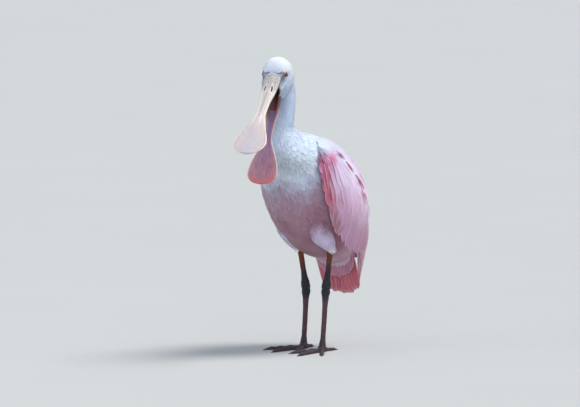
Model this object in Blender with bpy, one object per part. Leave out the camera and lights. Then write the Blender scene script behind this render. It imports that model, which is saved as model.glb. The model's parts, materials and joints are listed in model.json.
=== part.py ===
"""A life-size roseate spoonbill with its bill open. Metres, +Z up; it faces -Y and its left is +X."""

import math

import bmesh
import bpy
import numpy as np
from mathutils import Matrix, Vector

# The point midway between the feet, placed so that the origin is the middle of the bird's box on the floor.
STANCE = Vector((0.0, 0.068, 0.0))
GAP = 0.0003
SIDES = {"left": 1, "right": -1}

# Ribs of neck and trunk, head end first: back (forward, up), front (forward, up), half width.
BODY_RIBS = [
    (0.0900, 0.4900, 0.1060, 0.4800, 0.0150),
    (0.0745, 0.4740, 0.1040, 0.4635, 0.0183),
    (0.0695, 0.4530, 0.1030, 0.4450, 0.0187),
    (0.0683, 0.428, 0.103, 0.424, 0.0186),
    (0.0708, 0.408, 0.107, 0.400, 0.0184),
    (0.0700, 0.391, 0.113, 0.376, 0.0183),
    (0.056, 0.378, 0.119, 0.346, 0.0310),
    (0.021, 0.371, 0.116, 0.304, 0.0505),
    (-0.013, 0.354, 0.101, 0.266, 0.0630),
    (-0.045, 0.330, 0.080, 0.232, 0.0700),
    (-0.072, 0.300, 0.054, 0.203, 0.0740),
    (-0.091, 0.262, 0.025, 0.179, 0.0740),
    (-0.099, 0.226, -0.005, 0.163, 0.0670),
    (-0.101, 0.194, -0.035, 0.153, 0.0500),
    (-0.095, 0.171, -0.056, 0.147, 0.0280),
    (-0.088, 0.155, -0.069, 0.142, 0.0110),
]
BODY_SIDES = 28
BODY_FULLNESS = 2.15
NECK_TOP, NECK_PARTING, NECK_BASE = 0.0, 3.6, 6.0

# Head: where the bill's top meets the forehead, and how far the head turns to the bird's left.
FOREHEAD = Vector((0.0060, -0.1270, 0.4836))
HEAD_TURN = math.radians(13)
# Ribs of the head in its own upright plane from that point: crown (forward, up), throat (forward, up),
# half width and fullness.
HEAD_RIBS = [
    (-0.0500, 0.0010, -0.0490, -0.0130, 0.0070, 2.0),
    (-0.0470, 0.0110, -0.0465, -0.0250, 0.0160, 2.0),
    (-0.0385, 0.0195, -0.0415, -0.0340, 0.0220, 2.0),
    (-0.0255, 0.0245, -0.0340, -0.0410, 0.0248, 2.1),
    (-0.0120, 0.0225, -0.0250, -0.0445, 0.0250, 2.2),
    (-0.0040, 0.0140, -0.0175, -0.0450, 0.0240, 2.5),
    (0.0000, 0.0050, -0.0110, -0.0445, 0.0222, 2.9),
    (0.0015, -0.0040, -0.0070, -0.0430, 0.0192, 2.9),
    (0.0030, -0.0120, -0.0040, -0.0415, 0.0166, 2.7),
    (0.0035, -0.0200, -0.0035, -0.0410, 0.0152, 2.6),
]
HEAD_SIDES = 24
# The mouth inside the head, in the same plane, and its half width.
MOUTH = [
    (0.0120, -0.0200), (-0.0060, -0.0200), (-0.0140, -0.0260),
    (-0.0120, -0.0370), (0.0000, -0.0440), (0.0120, -0.0440),
]
MOUTH_HALF = 0.0118
EYE_PLACE = Vector((0.0162, 0.0074, -0.0036))
EYE_RADIUS = 0.0064
EYE_LOOK = math.radians(27)
LID_RADIUS, LID_TUBE, LID_OUT = 0.0050, 0.0010, 0.0042

# Bill: how steeply the upper half points down, how far the lower half is open and turned, and the jaw's pivot
# in the upper half's frame.
UPPER_PITCH = math.radians(44)
GAPE = math.radians(26.5)
JAW_PIVOT = Vector((0.0, 0.0150, -0.0320))
JAW_TURN = math.radians(-0.7)
# Stations of each half along it: distance from the forehead, half width, top, underside.
UPPER_STATIONS = [
    (-0.0100, 0.0130, -0.0020, -0.0120),
    (0.0000, 0.0145, 0.0000, -0.0135),
    (0.0150, 0.0148, -0.0012, -0.0140),
    (0.0300, 0.0141, -0.0028, -0.0130),
    (0.0410, 0.0129, -0.0037, -0.0127),
    (0.0524, 0.0109, -0.0044, -0.0124),
    (0.0620, 0.0096, -0.0049, -0.0122),
    (0.0720, 0.0092, -0.0053, -0.0120),
    (0.0820, 0.0092, -0.0056, -0.0118),
    (0.0920, 0.0100, -0.0057, -0.0115),
    (0.1060, 0.0143, -0.0057, -0.0110),
    (0.1200, 0.0195, -0.0055, -0.0104),
    (0.1340, 0.0255, -0.0052, -0.0097),
    (0.1480, 0.0293, -0.0048, -0.0090),
    (0.1540, 0.0293, -0.0046, -0.0087),
    (0.1620, 0.0262, -0.0044, -0.0083),
    (0.1690, 0.0195, -0.0044, -0.0080),
    (0.1730, 0.0120, -0.0046, -0.0079),
    (0.1750, 0.0040, -0.0052, -0.0079),
]
LOWER_STATIONS = [
    (0.0060, 0.0108, -0.0150, -0.0205),
    (0.0140, 0.0119, -0.0150, -0.0215),
    (0.0240, 0.0126, -0.0150, -0.0215),
    (0.0360, 0.0127, -0.0150, -0.0210),
    (0.0470, 0.0122, -0.0149, -0.0204),
    (0.0580, 0.0102, -0.0148, -0.0198),
    (0.0710, 0.0078, -0.0146, -0.0192),
    (0.0840, 0.0064, -0.0142, -0.0186),
    (0.0970, 0.0073, -0.0137, -0.0179),
    (0.1100, 0.0118, -0.0130, -0.0171),
    (0.1230, 0.0180, -0.0122, -0.0162),
    (0.1360, 0.0233, -0.0113, -0.0152),
    (0.1455, 0.0259, -0.0107, -0.0145),
    (0.1545, 0.0271, -0.0101, -0.0138),
    (0.1620, 0.0256, -0.0097, -0.0132),
    (0.1690, 0.0205, -0.0094, -0.0127),
    (0.1730, 0.0135, -0.0093, -0.0124),
    (0.1750, 0.0045, -0.0096, -0.0121),
]
BILL_SIDES = 14
# The sunk floor of the mouth in the lower half: middle and half sizes.
TROUGH_PLACE, TROUGH_HALF = (0.0, 0.0220, -0.0145), (0.0096, 0.0235, 0.0042)
NOSTRIL = {"along": 0.0310, "spread": 0.0062, "length": 0.0085, "width": 0.0021, "depth": 0.0040}

# Rails of the left wing, shoulder to tip: left, forward, up.
WING_BACK_RAIL = [
    (0.042, 0.044, 0.369),
    (0.032, 0.014, 0.363),
    (0.023, -0.022, 0.352),
    (0.018, -0.055, 0.332),
    (0.016, -0.084, 0.302),
    (0.015, -0.101, 0.254),
    (0.016, -0.107, 0.200),
    (0.017, -0.106, 0.148),
    (0.0225, -0.098, 0.105),
]
WING_LOW_RAIL = [
    (0.051, 0.053, 0.350),
    (0.062, 0.064, 0.324),
    (0.0684, 0.0632, 0.2900),
    (0.0701, 0.0519, 0.2546),
    (0.0663, 0.0319, 0.2211),
    (0.0589, 0.0047, 0.1932),
    (0.0509, -0.0276, 0.1708),
    (0.0385, -0.064, 0.151),
    (0.0255, -0.094, 0.105),
]
WING_SWELL = [0.006, 0.014, 0.023, 0.033, 0.039, 0.034, 0.025, 0.013, 0.003]
WING_REACH = {"left": 1.0, "right": 0.78}
# The shell under the feathers: where it ends, how deep it lies under their surface, and its depth along it.
WING_CORE_END, WING_CORE_SUNK = 0.84, 0.0010
WING_CORE_DEPTH = [(0.0, 0.014), (0.5, 0.015), (0.72, 0.008), (0.84, 0.003)]
# Feathers: stations along one, and two outlines as shares of its half width there.
VANE_SHARES = [0.0, 0.4, 0.78, 1.0]
BLUNT, LONG = [0.75, 1.0, 0.90, 0.34], [0.75, 1.0, 0.85, 0.24]
# Tiers of wing feathers, undermost first: places from back to flank, and root and tips along the wing.
WING_TIERS = [
    {"count": 4, "across": (0.40, 0.98), "root": 0.62, "tip": (1.00, 0.93), "overlap": 1.5, "outline": LONG},
    {"count": 6, "across": (0.00, 1.02), "root": 0.50, "tip": (0.97, 0.82), "overlap": 1.25, "outline": LONG},
    {"count": 6, "across": (0.0, 1.02), "root": 0.34, "tip": (0.66, 0.60), "overlap": 1.25, "outline": BLUNT},
    {"count": 5, "across": (0.0, 1.02), "root": 0.18, "tip": (0.45, 0.41), "overlap": 1.25, "outline": BLUNT},
    {"count": 3, "across": (0.00, 0.28), "root": 0.16, "tip": (0.74, 0.62), "overlap": 1.2, "outline": LONG},
]
# Heights of a wing feather's root and tip over the wing's surface, the rise of its flank edge, its thickness
# and its least width.
VANE_SUNK, VANE_RAISED, VANE_TILT, VANE_THICK, VANE_LEAST = -0.0012, 0.0018, 0.0008, 0.0012, 0.006

# Tail: root and tip of its middle line (forward, up), and the wedge that its feathers root in.
TAIL_ROOT, TAIL_TIP = (-0.054, 0.184), (-0.095, 0.0905)
TAIL_CORE = [(0.0, 0.017, 0.0050), (0.30, 0.020, 0.0044), (0.55, 0.022, 0.0016)]
# Tiers of tail feathers, lowest first: count, how far aside the outermost is rooted, spread in degrees, where
# they start and end along the tail,
# height over its plane at root and tip, change of height for each step from the middle, and half width.
TAIL_SHARES = [0.0, 0.50, 0.90, 1.0]
TAIL_TIERS = [
    {"count": 3, "base": 0.006, "spread": 8, "ends": (0.14, 0.62), "lift": (-0.0014, -0.0040), "step": 0.0,
     "half": 0.0100},
    {"count": 9, "base": 0.006, "spread": 11, "ends": (0.20, 1.00), "lift": (0.0, 0.0), "step": -0.0007,
     "half": 0.0072},
    {"count": 3, "base": 0.006, "spread": 8, "ends": (0.12, 0.55), "lift": (0.0014, 0.0040), "step": 0.0,
     "half": 0.0100},
]
TAIL_OUTLINE = [0.55, 0.95, 0.95, 0.42]
TAIL_THICK = 0.0011

# Legs. Left, forward, up of each place, and after it the radius along the feathered thigh.
LEGS = {
    "left": {
        "foot": (0.027, 0.011, 0.0),
        "ankle": (0.0275, 0.0015, 0.106),
        "tibia_end": (0.032, -0.0045, 0.172),
        "thigh": [
            (0.0440, 0.0510, 0.2429, 0.0130), (0.0418, 0.0345, 0.2106, 0.0180), (0.0448, 0.0180, 0.1889, 0.0140),
            (0.0425, 0.0010, 0.1728, 0.0075),
        ],
    },
    "right": {
        "foot": (-0.027, -0.011, 0.0),
        "ankle": (-0.0275, -0.0190, 0.102),
        "tibia_end": (-0.030, -0.0035, 0.172),
        "thigh": [
            (-0.0400, 0.0480, 0.2429, 0.0120), (-0.0370, 0.0300, 0.2106, 0.0155), (-0.0360, 0.0140, 0.1890, 0.0120),
            (-0.0325, 0.0000, 0.1720, 0.0075),
        ],
    },
}
LEG_SIDES = 12
TARSUS_RADIUS, TIBIA_RADIUS, ANKLE_RADIUS = 0.0043, 0.0048, 0.0078
# Toes: turn from straight ahead towards the outside, length with no claw, radius at the root.
TOES = {
    "inner": (-22, 0.060, 0.0040),
    "middle": (5, 0.078, 0.0042),
    "outer": (34, 0.066, 0.0040),
    "hind": (172, 0.031, 0.0034),
}
CLAW_LENGTH = 0.009
# Along a toe and its claw: share of the toe's length, and share of its radius.
TOE_RIBS = [
    (0.0, 1.05), (0.22, 0.86), (0.36, 1.0), (0.50, 0.80),
    (0.64, 0.92), (0.78, 0.72), (0.90, 0.82), (1.0, 0.55),
]
WEB_REACH, WEB_DIP, WEB_THICK = 0.36, 0.62, 0.0018

COLOURS = {
    "body": (0.86, 0.62, 0.66),
    "neck": (0.84, 0.86, 0.90),
    "head": (0.90, 0.91, 0.93),
    "bill": (0.80, 0.66, 0.60),
    "bill_lower": (0.66, 0.40, 0.42),
    "eye": (0.75, 0.30, 0.05),
    "wing": (0.88, 0.48, 0.56),
    "tail": (0.82, 0.30, 0.34),
    "tibia": (0.40, 0.16, 0.10),
    "tarsus": (0.16, 0.09, 0.10),
}


def at(left, forward, up):
    """A point from how far it is to the bird's left, ahead and above the floor."""
    return np.array([left, -forward, up])


def move_to(obj, collection):
    for owner in list(obj.users_collection):
        owner.objects.unlink(obj)
    collection.objects.link(obj)


def clear_scene():
    for obj in list(bpy.data.objects):
        bpy.data.objects.remove(obj)


def spline(rows, steps):
    """Points of a Catmull-Rom curve through the rows, at the given steps, where step k is row k."""
    rows = np.asarray(rows, float)
    steps = np.asarray(steps, float)
    padded = np.vstack([2 * rows[0] - rows[1], rows, 2 * rows[-1] - rows[-2]])
    first = np.clip(np.floor(steps).astype(int), 0, len(rows) - 2)
    t = (steps - first)[:, None]
    p0, p1, p2, p3 = (padded[first + k] for k in range(4))
    bend = (2 * p0 - 5 * p1 + 4 * p2 - p3) * t**2 + (3 * p1 - p0 - 3 * p2 + p3) * t**3
    return 0.5 * (2 * p1 + (p2 - p0) * t + bend)


def mesh_object(name, points, faces):
    """An object of these points and faces, with its faces pointing out."""
    mesh = bpy.data.meshes.new(name)
    mesh.from_pydata([tuple(p) for p in points], [], faces)
    shape = bmesh.new()
    shape.from_mesh(mesh)
    bmesh.ops.recalc_face_normals(shape, faces=shape.faces)
    shape.to_mesh(mesh)
    shape.free()
    obj = bpy.data.objects.new(name, mesh)
    bpy.context.scene.collection.objects.link(obj)
    return obj


def loft(name, rings):
    """A closed body through rings of points, with a flat cap on each end."""
    count, sides = rings.shape[:2]
    faces = [
        (i * sides + j, i * sides + (j + 1) % sides, (i + 1) * sides + (j + 1) % sides, (i + 1) * sides + j)
        for i in range(count - 1)
        for j in range(sides)
    ]
    caps = [tuple(range(sides)), tuple(range((count - 1) * sides, count * sides))]
    return mesh_object(name, rings.reshape(-1, 3), faces + caps)


def oval(centre, up, side, sides, fullness=2.0):
    """A ring about the centre with these half axes; over 2, fullness squares it."""
    turn = np.linspace(0, 2 * math.pi, sides, endpoint=False)
    cos, sin = np.cos(turn), np.sin(turn)
    tall = np.sign(cos) * np.abs(cos) ** (2 / fullness)
    wide = np.sign(sin) * np.abs(sin) ** (2 / fullness)
    return centre + np.outer(tall, up) + np.outer(wide, side)


def tube(name, points, radii, sides=LEG_SIDES, flatten=1.0):
    """A round or flattened limb along points, with a radius at each; flatten scales it from side to side."""
    points = np.array(points)
    along = np.gradient(points, axis=0)
    along /= np.linalg.norm(along, axis=1)[:, None]
    rings = []
    for point, ahead, radius in zip(points, along, radii):
        across = np.array([1.0, 0.0, 0.0])
        across -= ahead * (across @ ahead)
        across /= np.linalg.norm(across)
        rings.append(oval(point, radius * np.cross(ahead, across), radius * flatten * across, sides))
    return loft(name, np.array(rings))


def baked(obj):
    """Replaces the object's mesh by the one that its modifiers make."""
    bpy.context.view_layer.update()
    evaluated = obj.evaluated_get(bpy.context.evaluated_depsgraph_get())
    mesh = bpy.data.meshes.new_from_object(evaluated)
    obj.modifiers.clear()
    obj.data = mesh
    return obj


def keep_largest(obj):
    """Drops every loose scrap and sealed hollow, and keeps the largest closed surface."""
    shape = bmesh.new()
    shape.from_mesh(obj.data)
    bmesh.ops.remove_doubles(shape, verts=shape.verts, dist=1e-6)
    unseen = set(shape.verts)
    islands = []
    while unseen:
        found, edge = set(), [unseen.pop()]
        while edge:
            vertex = edge.pop()
            found.add(vertex)
            near = {e.other_vert(vertex) for e in vertex.link_edges} & unseen
            unseen -= near
            edge.extend(near)
        islands.append(found)
    islands.sort(key=lambda found: max((v.co for v in found), key=lambda c: c.z).z)
    islands.sort(key=span_of)
    spare = [v for island in islands[:-1] for v in island]
    bmesh.ops.delete(shape, geom=spare, context="VERTS")
    shape.to_mesh(obj.data)
    shape.free()
    return obj


def span_of(vertices):
    """The diagonal of the box round these vertices."""
    places = np.array([v.co for v in vertices])
    return float(np.linalg.norm(np.ptp(places, axis=0)))


def fuse(core, pieces, solver="EXACT"):
    """Joins the closed pieces to the core in one union over their collection."""
    group = bpy.data.collections.new(core.name + "_pieces")
    bpy.context.scene.collection.children.link(group)
    for piece in pieces:
        move_to(piece, group)
    union = core.modifiers.new("Join", "BOOLEAN")
    union.operation = "UNION"
    union.operand_type = "COLLECTION"
    union.collection = group
    union.solver = solver
    baked(core)
    for piece in pieces:
        bpy.data.objects.remove(piece)
    bpy.data.collections.remove(group)
    return keep_largest(core)


def swollen(obj, distance):
    """A copy of the object, grown all over by the distance."""
    copy = obj.copy()
    copy.data = obj.data.copy()
    bpy.context.scene.collection.objects.link(copy)
    points = np.empty(len(copy.data.vertices) * 3, np.float32)
    normals = np.empty_like(points)
    copy.data.vertices.foreach_get("co", points)
    copy.data.vertices.foreach_get("normal", normals)
    copy.data.vertices.foreach_set("co", points + distance * normals)
    copy.data.update()
    return copy


def cut(obj, cutter, solver="EXACT"):
    """Takes the cutter's shape out of the object, and removes the cutter."""
    difference = obj.modifiers.new("Cut", "BOOLEAN")
    difference.operation = "DIFFERENCE"
    difference.object = cutter
    difference.solver = solver
    baked(obj)
    bpy.data.objects.remove(cutter)
    return keep_largest(obj)


def clear_of(obj, neighbours, solver="EXACT"):
    """Cuts the object back until it keeps the gap to each neighbour."""
    for neighbour in neighbours:
        cut(obj, swollen(neighbour, 1.2 * GAP), solver)
    return obj


def body_rings(first, last, count):
    """Rings of neck and trunk between two steps of the ribs."""
    ribs = spline(BODY_RIBS, np.linspace(first, last, count))
    rings = []
    for back_forward, back_up, front_forward, front_up, half in ribs:
        back, front = at(0, back_forward, back_up), at(0, front_forward, front_up)
        rings.append(oval((back + front) / 2, (back - front) / 2, at(half, 0, 0), BODY_SIDES, BODY_FULLNESS))
    return np.array(rings)


def parted(rings, start, end):
    """The rings with the first or last moved in by half the gap, so that neighbours don't touch."""
    rings = rings.copy()
    half = 0.5 * GAP
    if start:
        rings[0] += half * unit(rings[1].mean(0) - rings[0].mean(0))
    if end:
        rings[-1] += half * unit(rings[-2].mean(0) - rings[-1].mean(0))
    return rings


def unit(vector):
    return vector / np.linalg.norm(vector)


def head_matrix():
    """From the head's upright plane (left, -forward, up) to the bird's."""
    return Matrix.Translation(FOREHEAD) @ Matrix.Rotation(HEAD_TURN, 4, "Z")


def upper_matrix():
    return head_matrix() @ Matrix.Rotation(UPPER_PITCH, 4, "X")


def lower_matrix():
    """The lower half turned about the jaw's pivot by the gape, and a little to the bird's right."""
    pivot = Matrix.Translation(JAW_PIVOT)
    turn = Matrix.Rotation(GAPE, 4, "X") @ Matrix.Rotation(JAW_TURN, 4, "Z")
    return upper_matrix() @ pivot @ turn @ pivot.inverted()


def moved(obj, matrix):
    obj.data.transform(matrix)
    return obj


def build_head():
    rings = []
    ribs = spline(HEAD_RIBS, np.linspace(0, len(HEAD_RIBS) - 1, 15))
    for crown_forward, crown_up, throat_forward, throat_up, half, fullness in ribs:
        crown, throat = at(0, crown_forward, crown_up), at(0, throat_forward, throat_up)
        rings.append(oval((crown + throat) / 2, (crown - throat) / 2, at(half, 0, 0), HEAD_SIDES, fullness))
    head = loft("head", np.array(rings))
    fuse(head, [build_lid(side) for side in SIDES.values()])
    cut(head, loft("mouth", np.array([[at(left, *p) for p in MOUTH] for left in (-MOUTH_HALF, MOUTH_HALF)])))
    for side in SIDES.values():
        cut(head, build_eye("socket", side, EYE_RADIUS + GAP))
    return moved(head, head_matrix())


def eye_matrix(side):
    """From an eye looking along +Z to its place in the head."""
    place = Matrix.Translation((side * EYE_PLACE.x, EYE_PLACE.y, EYE_PLACE.z))
    return place @ Matrix.Rotation(-side * EYE_LOOK, 4, "Z") @ Matrix.Rotation(side * math.pi / 2, 4, "Y")


def build_lid(side):
    """The bare rim round one eye."""
    bpy.ops.mesh.primitive_torus_add(
        major_radius=LID_RADIUS, minor_radius=LID_TUBE, major_segments=16, minor_segments=6
    )
    return moved(bpy.context.object, eye_matrix(side) @ Matrix.Translation((0, 0, LID_OUT)))


def build_eye(name, side, radius):
    bpy.ops.mesh.primitive_uv_sphere_add(segments=14, ring_count=8, radius=radius)
    eye = bpy.context.object
    eye.name = name
    return moved(eye, eye_matrix(side))


def bill_rings(stations, count):
    rings = []
    for along, half, top, under in spline(stations, np.linspace(0, len(stations) - 1, count)):
        centre = at(0, along, (top + under) / 2)
        rings.append(oval(centre, at(0, 0, (top - under) / 2), at(half, 0, 0), BILL_SIDES, 2.3))
    return np.array(rings)


def build_bill_upper():
    bill = loft("bill_upper", bill_rings(UPPER_STATIONS, 24))
    for side in SIDES.values():
        bpy.ops.mesh.primitive_uv_sphere_add(segments=10, ring_count=6, radius=1)
        size = Matrix.Diagonal((NOSTRIL["width"] / 2, NOSTRIL["length"] / 2, NOSTRIL["depth"] / 2, 1))
        place = Matrix.Translation(at(side * NOSTRIL["spread"], NOSTRIL["along"], -0.0030))
        cut(bill, moved(bpy.context.object, place @ size))
    return moved(bill, upper_matrix())


def build_bill_lower():
    bill = loft("bill_lower", bill_rings(LOWER_STATIONS, 24))
    bpy.ops.mesh.primitive_uv_sphere_add(segments=16, ring_count=8, radius=1)
    size = Matrix.Diagonal((*TROUGH_HALF, 1))
    trough = moved(bpy.context.object, Matrix.Translation(at(*TROUGH_PLACE)) @ size)
    return moved(cut(bill, trough), lower_matrix())


def wing_surface(side, along, across):
    """Points of the wing's outer surface and the directions out of it.

    Along runs 0 to 1 from shoulder to tip, across 0 to 1 from back to flank; the two are alike in shape.
    """
    along, across = np.broadcast_arrays(np.asarray(along, float), np.asarray(across, float))
    steps = along.ravel() * (len(WING_BACK_RAIL) - 1)
    v = across.ravel()[:, None]
    back, low = spline(WING_BACK_RAIL, steps), spline(WING_LOW_RAIL, steps)
    rails = (WING_BACK_RAIL, WING_LOW_RAIL)
    run = sum(spline(rail, steps + 0.05) - spline(rail, steps - 0.05) for rail in rails)
    swell = spline(np.array(WING_SWELL)[:, None], steps)
    chord = low - back
    out = np.cross(run, chord)
    out /= np.linalg.norm(out, axis=1, keepdims=True)
    out *= np.sign(out[:, :1])
    arch = np.maximum(4 * v * (1 - v), 0)
    slope = 3.2 * (1 - 2 * v) * np.maximum(arch, 0.2) ** -0.2
    places = back + v * chord + arch**0.8 * swell * out
    normals = out - slope * swell * chord / (chord**2).sum(1, keepdims=True)
    normals /= np.linalg.norm(normals, axis=1, keepdims=True)
    to_bird = np.array([side, -1, 1])
    shape = along.shape + (3,)
    return (places * to_bird).reshape(shape), (normals * to_bird).reshape(shape)


def wing_breadth(along):
    """The length of the wing from back to flank at each place along it."""
    steps = np.asarray(along) * (len(WING_BACK_RAIL) - 1)
    return np.linalg.norm(spline(WING_LOW_RAIL, steps) - spline(WING_BACK_RAIL, steps), axis=1)


def vane(tops, unders):
    """A thin closed blade between rows of left and right edge points, split alike on both faces."""
    rings = np.stack([tops[:, 0], tops[:, 1], unders[:, 1], unders[:, 0]], 1)
    faces = [(0, 3, 2), (0, 2, 1)]
    for i in range(0, 4 * (len(rings) - 1), 4):
        lt, rt, rb, lb = range(i, i + 4)
        faces += [(lt, rt, rt + 4), (lt, rt + 4, lt + 4), (lb, rb + 4, rb), (lb, lb + 4, rb + 4)]
        faces += [(rt, rb, rb + 4), (rt, rb + 4, rt + 4), (lb, lt, lt + 4), (lb, lt + 4, lb + 4)]
    end = 4 * (len(rings) - 1)
    faces += [(end, end + 1, end + 2), (end, end + 2, end + 3)]
    return mesh_object("vane", rings.reshape(-1, 3), faces)


def wing_feathers(side, reach, tier):
    """One tier of overlapping feathers, each with its root sunk and its flank edge over the next one."""
    shares = np.array(VANE_SHARES)
    feathers = []
    for k in range(tier["count"]):
        place = (k + 0.5) / tier["count"]
        across = tier["across"][0] + place * (tier["across"][1] - tier["across"][0])
        tip = tier["tip"][0] + place * (tier["tip"][1] - tier["tip"][0])
        along = tier["root"] + shares * (tip - tier["root"])
        breadth = np.maximum(wing_breadth(along), VANE_LEAST)
        share = 0.5 * tier["overlap"] * (tier["across"][1] - tier["across"][0]) / tier["count"]
        half = np.maximum(share, VANE_LEAST / breadth) * np.array(tier["outline"])
        lift = VANE_SUNK + shares * (VANE_RAISED - VANE_SUNK)
        edges = []
        for way in (-1, 1):
            points, out = wing_surface(side, along, (across + way * half) * reach)
            middle = points + (lift + way * VANE_TILT)[:, None] * out
            edges.append((middle + 0.5 * VANE_THICK * out, middle - 0.5 * VANE_THICK * out))
        feathers.append(vane(*(np.stack([edges[0][i], edges[1][i]], 1) for i in (0, 1))))
    return feathers


def build_wing(name, side, reach):
    """A shell from shoulder to near the tip that lies over the flank, with tiers of feathers rooted in it."""
    along = np.linspace(0, WING_CORE_END, 12)
    outer, out = wing_surface(side, along[:, None], np.linspace(0, reach, 7)[None])
    depth = np.interp(along, *zip(*WING_CORE_DEPTH))[:, None, None]
    outer -= WING_CORE_SUNK * out
    core = loft(name, np.concatenate([outer, (outer - depth * out)[:, ::-1]], 1))
    feathers = [feather for tier in WING_TIERS for feather in wing_feathers(side, reach, tier)]
    return fuse(core, feathers, "MANIFOLD")


def tail_feathers(root, run, up, length, tier):
    """One tier of tail feathers, fanned out from the root."""
    shares = np.array(TAIL_SHARES)
    feathers = []
    for k in range(tier["count"]):
        aside = 2 * k / (tier["count"] - 1) - 1
        turn = math.radians(tier["spread"]) * aside
        ahead = math.cos(turn) * run + np.array([math.sin(turn), 0, 0])
        across = np.cross(up, ahead)
        places = (tier["ends"][0] + shares * (tier["ends"][1] - tier["ends"][0])) * length
        steps = abs(k - (tier["count"] - 1) / 2)
        lift = tier["lift"][0] + shares * (tier["lift"][1] - tier["lift"][0]) + steps * tier["step"]
        foot = root + at(aside * tier["base"], 0, 0)
        middle = foot + places[:, None] * ahead + lift[:, None] * up
        half = (tier["half"] * np.array(TAIL_OUTLINE))[:, None] * across
        edges = np.stack([middle - half, middle + half], 1)
        feathers.append(vane(edges + 0.5 * TAIL_THICK * up, edges - 0.5 * TAIL_THICK * up))
    return feathers


def build_tail():
    """A flat wedge with feathers fanned out of it."""
    root, tip = at(0, *TAIL_ROOT), at(0, *TAIL_TIP)
    run, length = unit(tip - root), np.linalg.norm(tip - root)
    up = -np.cross(run, [1.0, 0, 0])
    core = loft("tail", np.array([
        oval(root + share * length * run, thick * up, at(half, 0, 0), 12, 3.0)
        for share, half, thick in TAIL_CORE
    ]))
    feathers = [feather for tier in TAIL_TIERS for feather in tail_feathers(root, run, up, length, tier)]
    return fuse(core, feathers, "MANIFOLD")


def build_thigh(name, side, leg):
    """The feathered thigh, a bulge low on the flank that tapers to where the bare leg leaves it."""
    rows = spline(leg["thigh"], np.linspace(0, len(leg["thigh"]) - 1, 8))
    return tube(name, [at(*row[:3]) for row in rows], rows[:, 3], 16)


def leg_points(leg):
    """The leg's middle line from the tibia's hidden top to the ankle."""
    top = at(*leg["tibia_end"])
    ankle = at(*leg["ankle"])
    return top + 0.22 * (top - ankle), ankle


def build_shank(name, leg):
    """The bare tibia with the ankle."""
    top, ankle = leg_points(leg)
    shares = [0, 0.35, 0.62, 0.78, 0.88, 0.96, 1.0]
    radii = [TIBIA_RADIUS + 0.0008, TIBIA_RADIUS, 0.0046, 0.0056, 0.0074, ANKLE_RADIUS, 0.0072]
    return tube(name, [top + share * (ankle - top) for share in shares], radii)


def build_tarsus(name, leg):
    ankle, foot = at(*leg["ankle"]), at(*leg["foot"])
    run = unit(foot - ankle)
    start, end = ankle + GAP * run, foot + np.array([0, 0, 0.0100])
    shares = [0, 0.06, 0.14, 0.28, 0.6, 0.86, 0.94, 1.0]
    radii = [0.0072, 0.0074, 0.0058, 0.0046, TARSUS_RADIUS, 0.0044, 0.0054, 0.0060]
    return tube(name, [start + share * (end - start) for share in shares], radii)


def build_foot(name, side, leg):
    """Four toes and their claws round a hub, all flat underneath at floor level."""
    foot = at(*leg["foot"])
    hub = loft(name, np.array([
        oval(foot + np.array([0, 0, height]), at(0, radius, 0), at(radius, 0, 0), LEG_SIDES)
        for height, radius in ((0, 0.0075), (0.005, 0.0078), (0.0100 - GAP, 0.0060))
    ]))
    toes = [build_toe(side, foot, *toe) for toe in TOES.values()]
    webs = [build_web(side, foot, TOES[a], TOES[b]) for a, b in (("inner", "middle"), ("middle", "outer"))]
    return fuse(hub, toes + webs)


def toe_direction(side, turn):
    angle = math.radians(turn) * side
    return np.array([math.sin(angle), -math.cos(angle), 0])


def build_toe(side, foot, turn, length, radius):
    ahead = toe_direction(side, turn)
    across = np.cross([0, 0, 1], ahead)
    rings = []
    for share, scale in TOE_RIBS + [(1.0 + CLAW_LENGTH / length, 0.12)]:
        half = radius * scale
        arch = np.linspace(0, math.pi, 5)
        section = np.outer(np.cos(arch) * half, across) + np.outer(np.sin(arch) * 1.7 * half, [0, 0, 1])
        rings.append(foot + share * length * ahead + section)
    return loft("toe", np.array(rings))


def build_web(side, foot, first, second):
    """The small web between the roots of two toes."""
    ends = [WEB_REACH * toe[1] * toe_direction(side, toe[0]) for toe in (first, second)]
    corners = foot + np.array([np.zeros(3), ends[0], WEB_DIP * (ends[0] + ends[1]) / 2, ends[1]])
    return loft("web", np.stack([corners, corners + np.array([0, 0, WEB_THICK])]))


def finish(obj, colour, roughness):
    """Gives the node its own material and smooth shading."""
    material = bpy.data.materials.new(obj.name)
    material.use_nodes = True
    shader = material.node_tree.nodes["Principled BSDF"]
    shader.inputs["Base Color"].default_value = (*COLOURS[colour], 1)
    shader.inputs["Roughness"].default_value = roughness
    obj.data.materials.clear()
    obj.data.materials.append(material)
    obj.data.shade_smooth()
    obj.data.set_sharp_from_angle(angle=math.radians(40))


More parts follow.
